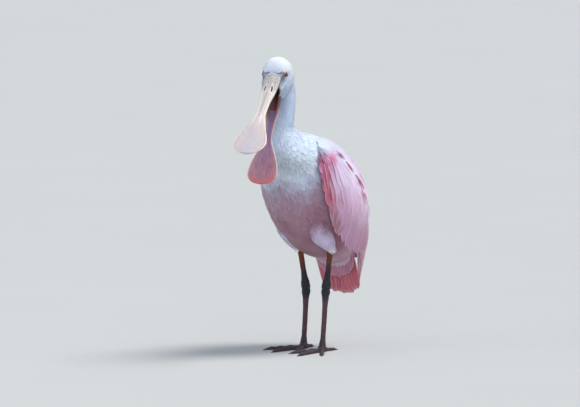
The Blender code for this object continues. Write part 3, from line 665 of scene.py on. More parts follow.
@dataclass
class Form:
    """A closed fleshy form made of rings, head end first.

    Attributes:
        points: Rows by sides by 3, where the sides close on themselves.
        lie: 1 where feathers point to later rows, -1 where they point to earlier ones.
        map_spot: Left, low and size of the form's place on the unwrap.
    """

    points: Array
    lie: float = 1.0
    map_spot: tuple[float, float, float] = (0.0, 0.0, 1.0)

    def __post_init__(self) -> None:
        """Works out the directions along, round and out of the form."""
        self.rows, self.sides = self.points.shape[:2]
        self.centre = self.points.mean(1)
        self.along = np.gradient(self.points, axis=0)
        self.round = (np.roll(self.points, -1, 1) - np.roll(self.points, 1, 1)) / 2
        out = unit(np.cross(self.along, self.round))
        facing = ((self.points - self.centre[:, None]) * out).sum(-1)
        self.normals = out * np.sign(np.median(facing))

    def read(self, grid: Array, row: Array, side: Array) -> Array:
        """Values of a grid at fractional rows and sides, straight between them and on past the ends."""
        i = np.clip(np.floor(row).astype(int), 0, self.rows - 2)
        f = (row - i)[..., None]
        j = np.floor(side).astype(int)
        g = (side - j)[..., None]
        j, k = j % self.sides, (j + 1) % self.sides
        near, far = (grid[i, at_side] * (1 - f) + grid[i + 1, at_side] * f for at_side in (j, k))
        return near * (1 - g) + far * g

    def inset(self, depths: Array) -> Array:
        """The form's points moved inwards by each row's depth."""
        return self.points - np.asarray(depths)[:, None, None] * self.normals

    def holds(self, places: Array, share: float = 1.0) -> Array:
        """Whether each place is inside the form: within the ring whose plane is nearest.

        Args:
            places: Points, n by 3.
            share: How much of each ring counts.

        Returns:
            One truth value for each place.
        """
        rings = self.points[:: max(1, self.rows // 40)]
        centre = rings.mean(1)
        tall = (rings[:, 0] - rings[:, self.sides // 2]) / 2
        wide = (rings[:, self.sides // 4] - rings[:, 3 * self.sides // 4]) / 2
        axis = unit(np.cross(tall, wide))
        away = places[:, None] - centre[None]
        off = np.abs((away * axis).sum(-1))
        u = (away * tall).sum(-1) / (tall**2).sum(-1)
        v = (away * wide).sum(-1) / (wide**2).sum(-1)
        radius = (np.abs(u) ** 2.2 + np.abs(v) ** 2.2) ** (1 / 2.2)
        best = np.argmin(off + 0.02 * radius, 1)[:, None]
        gap = np.linalg.norm(np.diff(centre, axis=0), axis=1).max()
        inside = (np.take_along_axis(radius, best, 1) < share) & (np.take_along_axis(off, best, 1) < gap)
        return inside[:, 0]

    def scatter(self, start: float, end: float, gap: float, rng: np.random.Generator) -> tuple[Array, Array]:
        """Roots in tiers about a gap apart, thinned where the tiers crowd.

        Args:
            start: First row.
            end: Last row.
            gap: Distance between neighbours.
            rng: The random numbers.

        Returns:
            The roots' rows and sides.
        """
        steps = np.linalg.norm(self.along, axis=-1).max(1)
        level = np.concatenate([[0], np.cumsum((steps[1:] + steps[:-1]) / 2)])
        reach = np.interp([start, end], np.arange(self.rows), level)
        tiers = np.interp(np.arange(reach[0], reach[1], 0.85 * gap), level, np.arange(self.rows))
        girth = np.interp(tiers, np.arange(self.rows), np.linalg.norm(self.round, axis=-1).sum(1))
        counts = np.maximum(3, np.round(girth / gap)).astype(int)
        tier = np.repeat(np.arange(len(tiers)), counts)
        order = np.arange(len(tier)) - np.repeat(np.cumsum(counts) - counts, counts)
        side = (order + 0.5 * (tier % 2) + rng.uniform(-0.3, 0.3, len(tier))) / counts[tier] * self.sides
        row = tiers[tier] + rng.uniform(-0.3, 0.3, len(tier)) * np.gradient(tiers)[tier]
        local = np.linalg.norm(self.read(self.along, row, side), axis=-1)
        kept = rng.random(len(row)) < local / np.interp(row, np.arange(self.rows), steps) * 1.1
        return row[kept], side[kept]


def rib_rings(ribs: Array, sides: int, fullness: float | Array) -> Array:
    """Rings that stand in the upright middle plane, each between its rib's two places there.

    Args:
        ribs: First place (forward, up), second place (forward, up) and half width, in rows.
        sides: Points of each ring.
        fullness: The power of its outline.

    Returns:
        Points, rows by sides by 3.
    """
    zero = 0 * ribs[:, 0]
    first, second = (np.stack([zero, -ribs[:, k], ribs[:, k + 1]], -1) for k in (0, 2))
    wide = np.stack([ribs[:, 4], zero, zero], -1)
    return oval((first + second) / 2, (first - second) / 2, wide, full_turn(sides), fullness)


def body_form() -> Form:
    """Neck and trunk: rings between the back and the front of each rib."""
    ribs = spline(BODY_RIBS, np.linspace(0, len(BODY_RIBS) - 1, 141))
    return Form(rib_rings(ribs, 96, BODY_FULLNESS), map_spot=(0.0, 0.0, 0.7))


def head_form() -> Form:
    """The head: rings between crown and throat, nape first."""
    ribs = spline(HEAD_RIBS, np.linspace(0, len(HEAD_RIBS) - 1, 73))
    points = rib_rings(ribs, 72, ribs[:, 5])
    return Form(place(head_matrix(), points), lie=-1.0, map_spot=(0.72, 0.0, 0.26))


def thigh_form(leg: "Leg") -> Form:
    """A feathered thigh: rings round a curve low on the flank, down to where the bare leg leaves it.

    The path is drawn in towards the trunk by 4.5 mm (1 - t)^0.5, and the radii shrink by a third at its end.
    """
    rows = spline(leg.thigh, np.linspace(0, len(leg.thigh) - 1, 49))
    t = np.linspace(0, 1, len(rows))
    rows[:, 0] -= 0.0045 * leg.side.value * (1 - t) ** 0.5
    rows[:, 3] *= 1 - 0.34 * smooth(0.45, 1.0, t)
    points = tube(rows[:, :3] * np.array([1, -1, 1]), rows[:, 3], 48)
    return Form(points, map_spot=(0.72, 0.30 + 0.2 * (leg.side is Side.LEFT), 0.26))


def tube(spine: Array, radii: Array, sides: int) -> Array:
    """Rings round a path: at each point the circle of its radius across the path."""
    ahead = unit(np.gradient(spine, axis=0))
    across = unit(LEFTWARDS - ahead * ahead[:, :1])
    radii = np.asarray(radii, float)[:, None]
    return oval(spine, radii * np.cross(ahead, across), radii * across, full_turn(sides), 2.0)


# What the arrays of Blades are, each with a row for every blade.
EACH_BLADE = ("spine", "out", "half", "tint", "roots", "own")
MOST_TRIANGLES = 190000


@dataclass
class Blades:
    """Many thin closed blades with the same number of sections, each a feather or a wisp of one.

    Attributes:
        spine: Middle line of each, n by sections by 3.
        out: Direction of its outer face, the same shape.
        half: Half widths, n by sections.
        thick: Thickness at the middle, in metres.
        arch: Rise of the middle over the edges as a share of the half width.
        top: Points across the outer face.
        tint: A colour for each section, n by sections by 3.
        roots: Place of each root on the unwrap, n by 2.
        own: A random number for each.
        patch: Size of each feather's patch there.
        edge: A colour for each one's rims, or None.
        edge_share: How much of that colour the rims take.
        softness: How far the blades shade like the surface that they lie on; 0 keeps each rim sharp.
    """

    spine: Array
    out: Array
    half: Array
    tint: Array
    roots: Array
    own: Array
    thick: float = 0.0003
    arch: float = 0.18
    top: int = 3
    patch: float = 0.003
    edge: Array | None = None
    edge_share: float = 0.0
    softness: float = 0.75

    def piece(self, name: str, finish: Material, slot: str, stands_for: tuple[str, ...] = ()) -> Piece:
        """Carries the section along each spine.

        It runs across by u from -1 to 1 and out by (arch half +- thick / 2)(1 - u^2).
        """
        n, sections = self.half.shape
        ahead = unit(np.gradient(self.spine, axis=1))
        across = unit(np.cross(ahead, self.out))
        face = unit(np.cross(across, ahead))
        u = np.concatenate([np.linspace(-1, 1, self.top), np.linspace(1, -1, self.top)[1:-1]])
        up = np.concatenate([np.ones(self.top), -np.ones(self.top - 2)])
        rise = (1 - u**2) * (self.half[..., None] * self.arch + 0.5 * self.thick * up)
        points = (
            self.spine[:, :, None]
            + (self.half[..., None] * u)[..., None] * across[:, :, None]
            + rise[..., None] * face[:, :, None]
        )
        ring = len(u)
        first = (np.arange(n) * sections * ring)[:, None, None]
        quads = (first + grid_faces(sections, ring)[None]).reshape(-1, 4)
        end = first[:, 0] + (sections - 1) * ring + np.arange(ring)[None]
        caps = np.concatenate([(first[:, 0] + np.arange(ring)[None])[:, ::-1], end])
        along = np.linspace(0, 1, sections)
        vane = np.stack(np.broadcast_arrays((u[None, None] + 1) / 2, along[None, :, None] + 0 * first), -1)
        bake = self.roots[:, None, None] + self.patch * (vane - 0.5)
        tint = np.broadcast_to(self.tint[:, :, None], points.shape)
        if self.edge is not None:
            rim = self.edge_share * smooth(0.55, 1.0, np.abs(u))[None, None]
            tint = mix(tint, self.edge[:, None, None], rim)
        own = np.broadcast_to(self.own[:, None, None], points.shape[:3])
        normals = None
        if self.softness:
            bowed = unit(face[:, :, None] + (2 * self.arch * u)[:, None] * across[:, :, None])
            bowed = unit(mix(bowed, self.out[:, :, None], self.softness)).reshape(-1, 3)
            outer = np.where(np.arange(len(quads)) % ring < self.top - 1, 1.0, -1.0)
            on_faces = bowed[quads.reshape(-1)] * np.repeat(outer, 4)[:, None]
            normals = np.concatenate([on_faces, bowed[caps.reshape(-1)]])
        return Piece(name, points, quads, finish, caps, tint, own.reshape(-1), normals,
                     {"Vane": vane, "OFBake": bake}, slot, stands_for)

    def part(self, kept: Array) -> "Blades":
        """The blades that a mask or a run of numbers keeps."""
        some = {word: getattr(self, word)[kept] for word in EACH_BLADE}
        if self.edge is not None:
            some["edge"] = self.edge[kept]
        return replace(self, **some)

    def build(self, name: str, finish: Material, slot: str, stands_for: tuple[str, ...] = ()) -> None:
        """Builds the blades as pieces of no more than MOST_TRIANGLES each."""
        ring = 2 * self.top - 2
        each = 2 * ring * (self.half.shape[1] - 1) + 2 * (ring - 2)
        count = max(1, math.ceil(len(self.half) * each / MOST_TRIANGLES))
        for k, run in enumerate(np.array_split(np.arange(len(self.half)), count)):
            word = name if count == 1 else f"{name}_{k + 1}"
            obj = self.part(run).piece(word, finish, slot, stands_for).build()
            if not self.softness:
                obj.data.set_sharp_from_angle(angle=math.radians(55))


@dataclass(frozen=True)
class Coat:
    """How one kind of body feather grows on a form.

    Attributes:
        gap: Distance between neighbours.
        length: Length of a feather.
        width: Its greatest width.
        sunk: Depth of its root under the form's surface.
        lift: Height of its tip over it.
        stray: How far its direction strays, in radians.
        outline: Shares of the width at even steps along it.
        thick: Its thickness.
        arch: Rise of its middle, as a share of the half width.
        change: How much its colour changes from one to the next.
    """

    gap: float
    length: float
    width: float
    sunk: float
    lift: float
    stray: float = 0.12
    outline: tuple[float, ...] = (0.45, 0.9, 1.0, 0.72, 0.16)
    thick: float = 0.0003
    arch: float = 0.15
    change: float = 0.05

    def grow(self, form: Form, start: float, end: float, rng: np.random.Generator,
             bare: Callable[[Array, Array], Array], tint: Formula, flow: Formula | None = None,
             loft: Formula | None = None) -> Blades:
        """Grows the feathers.

        Args:
            form: What they grow on.
            start: First row.
            end: Last row.
            rng: The random numbers.
            bare: A function of places and directions that tells where none grow.
            tint: A function of places that gives their colours.
            flow: A function of places that gives the way they point, or None for along the form.
            loft: A function of places that gives a further height of the tips, or None.

        Returns:
            The feathers. Each runs over the surface from its root, at the height
            -sunk (1 - t)^2 + lift t^1.2 over it, where t runs from 0 to 1.
        """
        row, side = form.scatter(start, end, self.gap, rng)
        roots = form.read(form.points, row, side)
        kept = ~bare(roots, unit(form.read(form.normals, row, side)))
        row, side, roots = row[kept], side[kept], roots[kept]
        count, sections = len(row), len(self.outline)
        size = rng.uniform(0.78, 1.22, count)
        stray = rng.normal(0, self.stray, count) + 1.3 * self.stray * ripple(roots, 0.03, 5)
        lift = self.lift * rng.uniform(0.3, 1.5, count)
        if loft is not None:
            lift = lift + loft(roots)
        left, low, scale = form.map_spot
        spots = np.stack([left + scale * (side % form.sides) / form.sides, low + scale * row / form.rows], -1)
        step = self.length * size / (sections - 1)
        spine, out = [], []
        for t in np.linspace(0, 1, sections):
            face = unit(form.read(form.normals, row, side))
            height = -self.sunk * (1 - t) ** 2 + lift * t**1.2
            spine.append(form.read(form.points, row, side) + height[:, None] * face)
            out.append(face)
            run, girth = form.read(form.along, row, side), form.read(form.round, row, side)
            way = form.lie * unit(run) if flow is None else flow(spine[-1])
            way = unit(way - (way * face).sum(-1, keepdims=True) * face)
            way = np.cos(stray)[:, None] * way + np.sin(stray)[:, None] * np.cross(face, way)
            row = row + step * (way * run).sum(-1) / np.maximum((run**2).sum(-1), 4e-8)
            side = side + step * (way * girth).sum(-1) / np.maximum((girth**2).sum(-1), 1.6e-7)
        colour = tint(roots) * (1 + rng.normal(0, self.change, (count, 1)))
        # Darker towards the root: painted shade under the overlapping feathers.
        fade = np.linspace(0.90, 1.04, sections)
        half = 0.5 * self.width * size[:, None] * np.array(self.outline)
        return Blades(np.stack(spine, 1), np.stack(out, 1), half, colour[:, None] * fade[:, None], spots,
                      rng.random(count), thick=self.thick, arch=self.arch)


class Colours:
    """The bird's markings, as formulas of place about the point between the feet."""

    WHITE = shade(224, 234, 250)
    SNOW = shade(250, 250, 253)
    # The breast's and belly's colours, darkened in part by painted shade.
    LILAC = shade(182, 172, 194)
    ROSE = shade(176, 134, 152)
    DEEP = shade(146, 86, 104)
    # Painted blue shade, laid on the neck and the lower head.
    BLUE = shade(186, 208, 246)

    @staticmethod
    def body(places: Array) -> Array:
        """White on the neck with painted blue shade, lilac on the breast, and rose with deeper blotches
        towards belly and rump, darker lower down partly by painted shade, with a painted grey-green shadow
        under the bill.
        """
        forward, up = -places[..., 1], places[..., 2]
        down = (forward - 0.07) * -0.651 + (up - 0.335) * -0.759
        back = (forward - 0.07) * -0.759 + (up - 0.335) * 0.651
        blotch = 0.5 + 0.5 * ripple(places, 0.028, 11)
        fleck = 0.5 + 0.5 * ripple(places, 0.009, 12)
        low = down + 0.030 * (blotch - 0.5) + 0.012 * (fleck - 0.5)
        # Bluer up the neck: painted blue shade.
        colour = mix(Colours.WHITE, shade(212, 226, 252), smooth(0.385, 0.43, up))
        # Lilac, rose and deep rose lower down: the feathers' colours, darker towards the belly in part by
        # painted shade.
        colour = mix(colour, Colours.LILAC, smooth(-0.020, 0.022, low))
        colour = mix(colour, Colours.ROSE, smooth(0.000, 0.055, low))
        colour = mix(colour, Colours.DEEP, smooth(0.035, 0.125, low) * (0.35 + 0.65 * blotch))
        colour = mix(colour, Colours.WHITE, smooth(0.0, 0.04, back) * (1 - smooth(0.07, 0.15, down)))
        rump = 1 - smooth(-0.030, 0.010, forward)
        colour = mix(colour, shade(208, 162, 184), 0.7 * rump * (1 - smooth(0.24, 0.30, up)))
        shadow = bump(up, 0.425, 0.05) * (0.35 + 0.3 * ripple(places, 0.02, 3))
        colour = mix(colour, Colours.BLUE, np.clip(shadow, 0, 1))
        # Painted grey-green shadow and reflected green on the breast under the bill.
        painted_shadow_under_bill = bump(forward, 0.112, 0.03) * bump(up, 0.338, 0.018) * (0.7 + 0.3 * ripple(places, 0.012, 13))
        return mix(colour, shade(158, 164, 156), 0.75 * painted_shadow_under_bill)

    @staticmethod
    def thigh(places: Array) -> Array:
        """Pale lilac with a rosy upper end, and nearly white at the tuft's end."""
        up = places[..., 2] + 0.006 * ripple(places, 0.012, 4)
        colour = mix(shade(234, 222, 250), shade(214, 184, 216), 0.5 + 0.5 * ripple(places, 0.016, 14))
        colour = mix(colour, Colours.body(places), smooth(0.206, 0.236, up))
        return mix(Colours.SNOW, colour, smooth(0.176, 0.194, up))

    @staticmethod
    def in_head(places: Array) -> Array:
        """The places in the head's own upright plane: left, forward, up from the forehead."""
        local = place(head_matrix().inverted(), places)
        return local * np.array([1.0, -1.0, 1.0])

    @staticmethod
    def head_flow(places: Array) -> Array:
        """The way the head's feathers point: back from the bill, and down more and more towards the neck."""
        _, forward, up = np.moveaxis(Colours.in_head(places), -1, 0)
        down = 0.15 + 2.6 * smooth(0.018, 0.046, -forward) + 1.1 * smooth(-0.002, 0.030, -up)
        turned = np.array(head_matrix().to_3x3())
        return unit(np.stack([0 * down, 1 + 0 * down, -down], -1) @ turned.T)

    @staticmethod
    def rear_line(up: Array) -> Array:
        """How far forward the bare skin's rear edge is at each height."""
        return np.interp(up, [-0.050, -0.043, -0.034, -0.024, -0.016, -0.010, -0.004, 0.004],
                         [0.0020, 0.0005, -0.0010, -0.0030, -0.0066, -0.0125, -0.0156, -0.0135])

    @staticmethod
    def bareness(places: Array) -> Array:
        """1 where the face is bare, 0 where it is feathered.

        The upper edge is a wavy line across the forehead. The rear one passes behind the eye, comes forward
        under it and falls back over the jaw.
        """
        left, forward, up = np.moveaxis(Colours.in_head(places), -1, 0)
        brow = 0.0006 + 0.0009 * np.sin(left * 620) + 0.0018 * smooth(0.010, 0.016, np.abs(left))
        rear = Colours.rear_line(up) + 0.0006 * ripple(places, 0.004, 7)
        return (1 - smooth(0.0002, 0.0010, up - brow)) * smooth(-0.0005, 0.0005, forward - rear)

    @staticmethod
    def head(places: Array) -> Array:
        """White crown and cheek, lilac at the front, painted blue shade low on the sides, over blue-grey bare
        skin.
        """
        left, forward, up = np.moveaxis(Colours.in_head(places), -1, 0)
        front = bump(forward, 0.000, 0.014) * smooth(-0.004, 0.004, up)
        colour = mix(Colours.SNOW, shade(236, 240, 255), 0.8 * front)
        # Painted blue shade on the lower head.
        colour = mix(colour, Colours.BLUE, 0.7 * (1 - smooth(-0.026, 0.004, up)))
        skin = mix(shade(204, 216, 232), shade(186, 198, 214), 0.5 + 0.5 * ripple(places, 0.004, 8))
        lores = bump(forward, -0.0005, 0.0050) * bump(up, -0.0085, 0.0065)
        skin = mix(skin, shade(118, 138, 168), np.clip(1.1 * lores, 0, 1))
        skin = mix(skin, shade(222, 228, 232), bump(left, 0.0, 0.012) * smooth(-0.008, -0.003, up))
        white = bump(forward - Colours.rear_line(up), 0.0016, 0.0012) * (1 - smooth(-0.016, -0.010, up))
        skin = mix(skin, shade(240, 244, 248), white)
        # Painted dark shade on the bare skin under the feather edge, across the forehead and over the eyes.
        brow = 1.4 * bump(up - 0.0006 - 0.0009 * np.sin(left * 620), -0.0008, 0.0014)
        skin = mix(skin, shade(64, 88, 146), np.clip(brow * (1 - smooth(0.015, 0.019, np.abs(left))), 0, 1))
        far = from_hollows(places) - 0.18 * (1 - smooth(-0.034, -0.020, up))
        skin = mix(shade(160, 122, 118), skin, smooth(1.04, 1.16, far))
        return mix(colour, skin, Colours.bareness(places))

    @staticmethod
    def all_over(places: Array) -> Array:
        """The skin's colours, each part's formula in its own place."""
        local = Colours.in_head(places)
        on_head = smooth(-0.060, -0.050, local[..., 1]) * smooth(-0.052, -0.044, local[..., 2])
        low = (1 - smooth(0.19, 0.22, places[..., 2])) * smooth(-0.01, 0.01, places[..., 1] * -1 + 0.03)
        return mix(mix(Colours.body(places), Colours.thigh(places), low), Colours.head(places), on_head)


def apply_all(obj: Object) -> None:
    """Replaces the object's mesh by the one that its modifiers make."""
    bpy.context.view_layer.update()
    mesh = bpy.data.meshes.new_from_object(obj.evaluated_get(bpy.context.evaluated_depsgraph_get()))
    obj.modifiers.clear()
    obj.data = mesh


def loose_mesh(name: str, grids: list[Array]) -> Object:
    """An unfinished object of closed lofts: each goes through one grid's rings and has a cap on each end."""
    points, faces, base = [], [], 0
    for grid in grids:
        rows, sides = grid.shape[:2]
        points.append(grid.reshape(-1, 3))
        faces += (grid_faces(rows, sides)[:, ::-1] + base).tolist()
        last = base + (rows - 1) * sides
        faces += [list(range(base, base + sides)), list(range(last + sides - 1, last - 1, -1))]
        base += rows * sides
    mesh = bpy.data.meshes.new(name)
    mesh.from_pydata(np.concatenate(points) + STANCE, [], faces)
    mesh.update()
    return linked(name, mesh)


@dataclass
class Skin:
    """The bird's one skin, inside the feathers by their depth, with the mouth opened in it."""

    body_depth: float = 0.0034
    neck_depth: float = 0.0022
    head_depth: float = 0.0011
    voxel: float = 0.0019

    def build(self, body: Form, head: Form, thighs: list[Form], bare: Material, lining: Material) -> None:
        """Joins the inset forms by a voxel remesh, smooths them, opens the mouth and tints what is left.

        Args:
            body: Neck and trunk.
            head: The head.
            thighs: Both thighs.
            bare: The skin's material.
            lining: The mouth's material.
        """
        rows = np.linspace(0, len(BODY_RIBS) - 1, body.rows)
        depths = self.neck_depth + (self.body_depth - self.neck_depth) * smooth(3.5, 6.0, rows)
        grids = [body.inset(depths), head.inset(np.full(head.rows, self.head_depth))]
        grids += [thigh.inset(np.full(thigh.rows, self.body_depth)) for thigh in thighs]
        obj = loose_mesh("skin", grids)
        remesh = obj.modifiers.new("One", "REMESH")
        remesh.mode, remesh.voxel_size = "VOXEL", self.voxel
        even = obj.modifiers.new("Even", "SMOOTH")
        even.factor, even.iterations = 0.5, 4
        apply_all(obj)
        obj.data.materials.clear()
        obj.data.materials.append(bare)
        for hollow in hollows():
            cutter = self.cutter(*hollow)
            cutter.data.materials.append(lining)
            cut = obj.modifiers.new("Mouth", "BOOLEAN")
            cut.operation, cut.solver, cut.object = "DIFFERENCE", "EXACT", cutter
            cut.material_mode = "TRANSFER"
            apply_all(obj)
            bpy.data.objects.remove(cutter)
        points = np.empty(len(obj.data.vertices) * 3, np.float32)
        obj.data.vertices.foreach_get("co", points)
        paint(obj.data, Colours.all_over(points.reshape(-1, 3).astype(float) - STANCE))
        obj.data.shade_smooth()
        inside = ("torso", "neck_lower", "neck_upper", "head", "thigh_left", "thigh_right")
        dress(obj, inside)

    def cutter(self, name: str, matrix: Matrix, middle: Array, half: Array) -> Object:
        """One ellipsoid to cut with, in the plane of a matrix."""
        turns = full_turn(48)
        polar = np.linspace(0.06, math.pi - 0.06, 32)
        ring = np.stack([np.cos(turns), 0 * turns, np.sin(turns)], -1)
        ball = np.sin(polar)[:, None, None] * ring[None] + BACKWARDS * np.cos(polar)[:, None, None]
        cutter = loose_mesh(name, [place(matrix, ball * np.array(half) + np.array(middle))])
        turn_outwards(cutter)
        return cutter


def turn_outwards(obj: Object) -> None:
    """Turns the object's faces outwards."""
    shape = bmesh.new()
    shape.from_mesh(obj.data)
    bmesh.ops.recalc_face_normals(shape, faces=shape.faces)
    shape.to_mesh(obj.data)
    shape.free()


def hollows() -> tuple[tuple[str, Matrix, tuple, tuple], ...]:
    """The hollows of mouth and throat: name, matrix, middle and half sizes."""
    return (("mouth_hollow", head_matrix(), MOUTH_MIDDLE, MOUTH_HALF),
            ("throat_hollow", lower_matrix(), THROAT_MIDDLE, THROAT_HALF))


def from_hollows(places: Array) -> Array:
    """How far places are from the hollows' middles, as a share of their half sizes; the nearer one counts."""
    shares = []
    for _, matrix, middle, half in hollows():
        local = place(matrix.inverted(), places)
        shares.append(np.linalg.norm((local - np.array(middle)) / np.array(half), axis=-1))
    return np.minimum(*shares)


def wing_surface(side: Side, along: Array, across: Array) -> tuple[Array, Array]:
    """Points of the wing's outer surface and the directions out of it.

    A point is on the line between the rails, raised by swell (4 v (1 - v))^0.8, with v from back to flank.

    Args:
        side: Which wing.
        along: 0 to 1 from shoulder to tip.
        across: 0 to 1 from back to flank.

    Returns:
        Points and unit directions, the arguments' shape by 3.
    """
    along, across = np.broadcast_arrays(np.asarray(along, float), np.asarray(across, float))
    steps = along.ravel() * (len(WING_BACK_RAIL) - 1)
    v = across.ravel()[:, None]
    back, low = spline(WING_BACK_RAIL, steps), spline(WING_LOW_RAIL, steps)
    rails = (WING_BACK_RAIL, WING_LOW_RAIL)
    run = sum(spline(rail, steps + 0.05) - spline(rail, steps - 0.05) for rail in rails)
    swell = spline(np.array(WING_SWELL)[:, None], steps)
    chord = low - back
    out = unit(np.cross(run, chord))
    out *= np.sign(out[:, :1])
    arch = np.maximum(4 * v * (1 - v), 0)
    slope = 3.2 * (1 - 2 * v) * np.maximum(arch, 0.2) ** -0.2
    places = back + v * chord + arch**0.8 * swell * out
    normals = unit(out - slope * swell * chord / (chord**2).sum(1, keepdims=True))
    to_bird = np.array([side.value, -1, 1])
    return (places * to_bird).reshape(along.shape + (3,)), (normals * to_bird).reshape(along.shape + (3,))


@dataclass(frozen=True)
class Tier:
    """One tier of long feathers on the wing's map.

    Attributes:
        name: What the feathers are.
        count: How many.
        roots: Where the first, the middle and the last are rooted: along and across.
        tips: Where they end.
        width: Greatest width of the first and the last.
        rise: Height of root and tip over the wing's surface.
        stray: How far roots and tips stray, as shares of the wing.
    """

    name: str
    count: int
    roots: tuple[tuple[float, float], ...]
    tips: tuple[tuple[float, float], ...]
    width: tuple[float, float]
    rise: tuple[float, float]
    stray: float = 0.006

    def line(self, ends: tuple[tuple[float, float], ...], k: Array) -> Array:
        """Places on a broken line through three points, where k runs from 0 to 1."""
        return np.stack([np.interp(k, (0, 0.5, 1), [end[axis] for end in ends]) for axis in (0, 1)], -1)


# Shares of a feather's width at even steps from its root.
BROAD = (0.30, 0.56, 0.75, 0.87, 0.95, 1.0, 1.0, 1.0, 1.0, 0.97, 0.90, 0.76, 0.52, 0.14)
WISP = (0.5, 1.0, 0.9, 0.55, 0.1)
ROUND = (0.45, 0.85, 1.0, 0.92, 0.30)
BLUNT = (0.30, 0.56, 0.75, 0.87, 0.95, 1.0, 1.0, 1.0, 1.0, 1.0, 0.98, 0.92, 0.76, 0.40)

WING_TIERS = [
    Tier("primaries", 8, ((0.60, 0.04), (0.62, 0.42), (0.64, 0.86)),
         ((0.985, 0.12), (1.00, 0.50), (0.965, 0.86)), (0.017, 0.015), (-0.0012, 0.0004)),
    Tier("secondaries", 17, ((0.42, 0.00), (0.34, 0.50), (0.24, 0.96)),
         ((0.92, 0.62), (0.77, 0.98), (0.46, 1.03)), (0.021, 0.015), (-0.0010, 0.0016)),
    Tier("tertials", 5, ((0.20, -0.02), (0.24, 0.06), (0.30, 0.14)),
         ((0.82, 0.02), (0.87, 0.16), (0.91, 0.32)), (0.019, 0.017), (-0.0008, 0.0020)),
    Tier("greater_coverts", 12, ((0.26, 0.00), (0.22, 0.50), (0.14, 0.95)),
         ((0.74, 0.30), (0.57, 0.82), (0.36, 1.02)), (0.021, 0.014), (-0.0006, 0.0020)),
    Tier("median_coverts", 10, ((0.14, 0.00), (0.13, 0.45), (0.09, 0.92)),
         ((0.58, 0.20), (0.44, 0.66), (0.28, 1.00)), (0.021, 0.013), (-0.0004, 0.0024)),
    Tier("inner_scapulars", 4, ((0.08, -0.02), (0.10, 0.06), (0.12, 0.14)),
         ((0.50, 0.02), (0.54, 0.11), (0.55, 0.20)), (0.019, 0.017), (-0.0008, 0.0030)),
    Tier("scapulars", 8, ((0.10, 0.08), (0.08, 0.34), (0.10, 0.58)),
         ((0.48, 0.20), (0.41, 0.60), (0.31, 0.88)), (0.021, 0.016), (-0.0010, 0.0030)),
]


def wing_tint(along: Array, across: Array, places: Array) -> Array:
    """The wing's colours over its own map.

    Lilac white above and mauve-pink below, darker there in part by painted shade, with a paler band down the
    back that is partly a painted highlight, a rose patch on the shoulder's front, a thin carmine line down
    the front edge from it, painted shade lower along that edge, and coral towards the tip.
    """
    wander, fine = ripple(places, 0.022, 21), ripple(places, 0.007, 23)
    colour = mix(shade(226, 218, 246), shade(224, 188, 216), smooth(0.26, 0.46, along + 0.06 * wander))
    # Darker mauve-pink lower down: the feathers' colour, darkened in part by painted shade.
    lower = smooth(0.46, 0.72, along + 0.05 * wander + 0.10 * (across - 0.5))
    colour = mix(colour, shade(172, 126, 150), lower)
    # A paler band down the back of the wing: pale feathers with a painted highlight where the sun falls.
    pale_and_sunlit = bump(across, 0.42 + 0.05 * wander, 0.12) * smooth(0.15, 0.28, along)
    colour = mix(colour, shade(238, 226, 250), 0.7 * pale_and_sunlit * (1 - smooth(0.62, 0.78, along)))
    front = smooth(0.62, 0.90, across + 0.06 * wander) * smooth(0.16, 0.30, along)
    colour = mix(colour, shade(214, 156, 190), 0.6 * front)
    patch = bump(along, 0.125, 0.105) * smooth(0.42, 0.58, across + 0.07 * wander + 0.05 * fine)
    deep = smooth(0.35, 0.65, 0.5 + 0.5 * fine)
    colour = mix(colour, mix(shade(226, 132, 182), shade(206, 88, 136), deep), np.clip(1.1 * patch, 0, 1))
    line = smooth(0.84, 0.93, across + 0.03 * wander) * smooth(0.14, 0.22, along)
    colour = mix(colour, shade(200, 72, 98), 0.85 * line * (1 - smooth(0.34, 0.44, along)))
    # Painted shade along the lower front edge, where the wing meets the flank.
    rim = smooth(0.94, 0.98, across) * smooth(0.34, 0.42, along) * (1 - smooth(0.52, 0.60, along))
    colour = mix(colour, shade(160, 88, 90), 0.7 * rim)
    tip = smooth(0.66, 0.90, along + 0.10 * (0.6 - across))
    colour = mix(colour, mix(shade(172, 118, 146), shade(196, 100, 124), 0.5 + 0.5 * wander), tip)
    return mix(colour, Colours.WHITE, 1 - smooth(0.02, 0.05, along + 0.02 * wander))


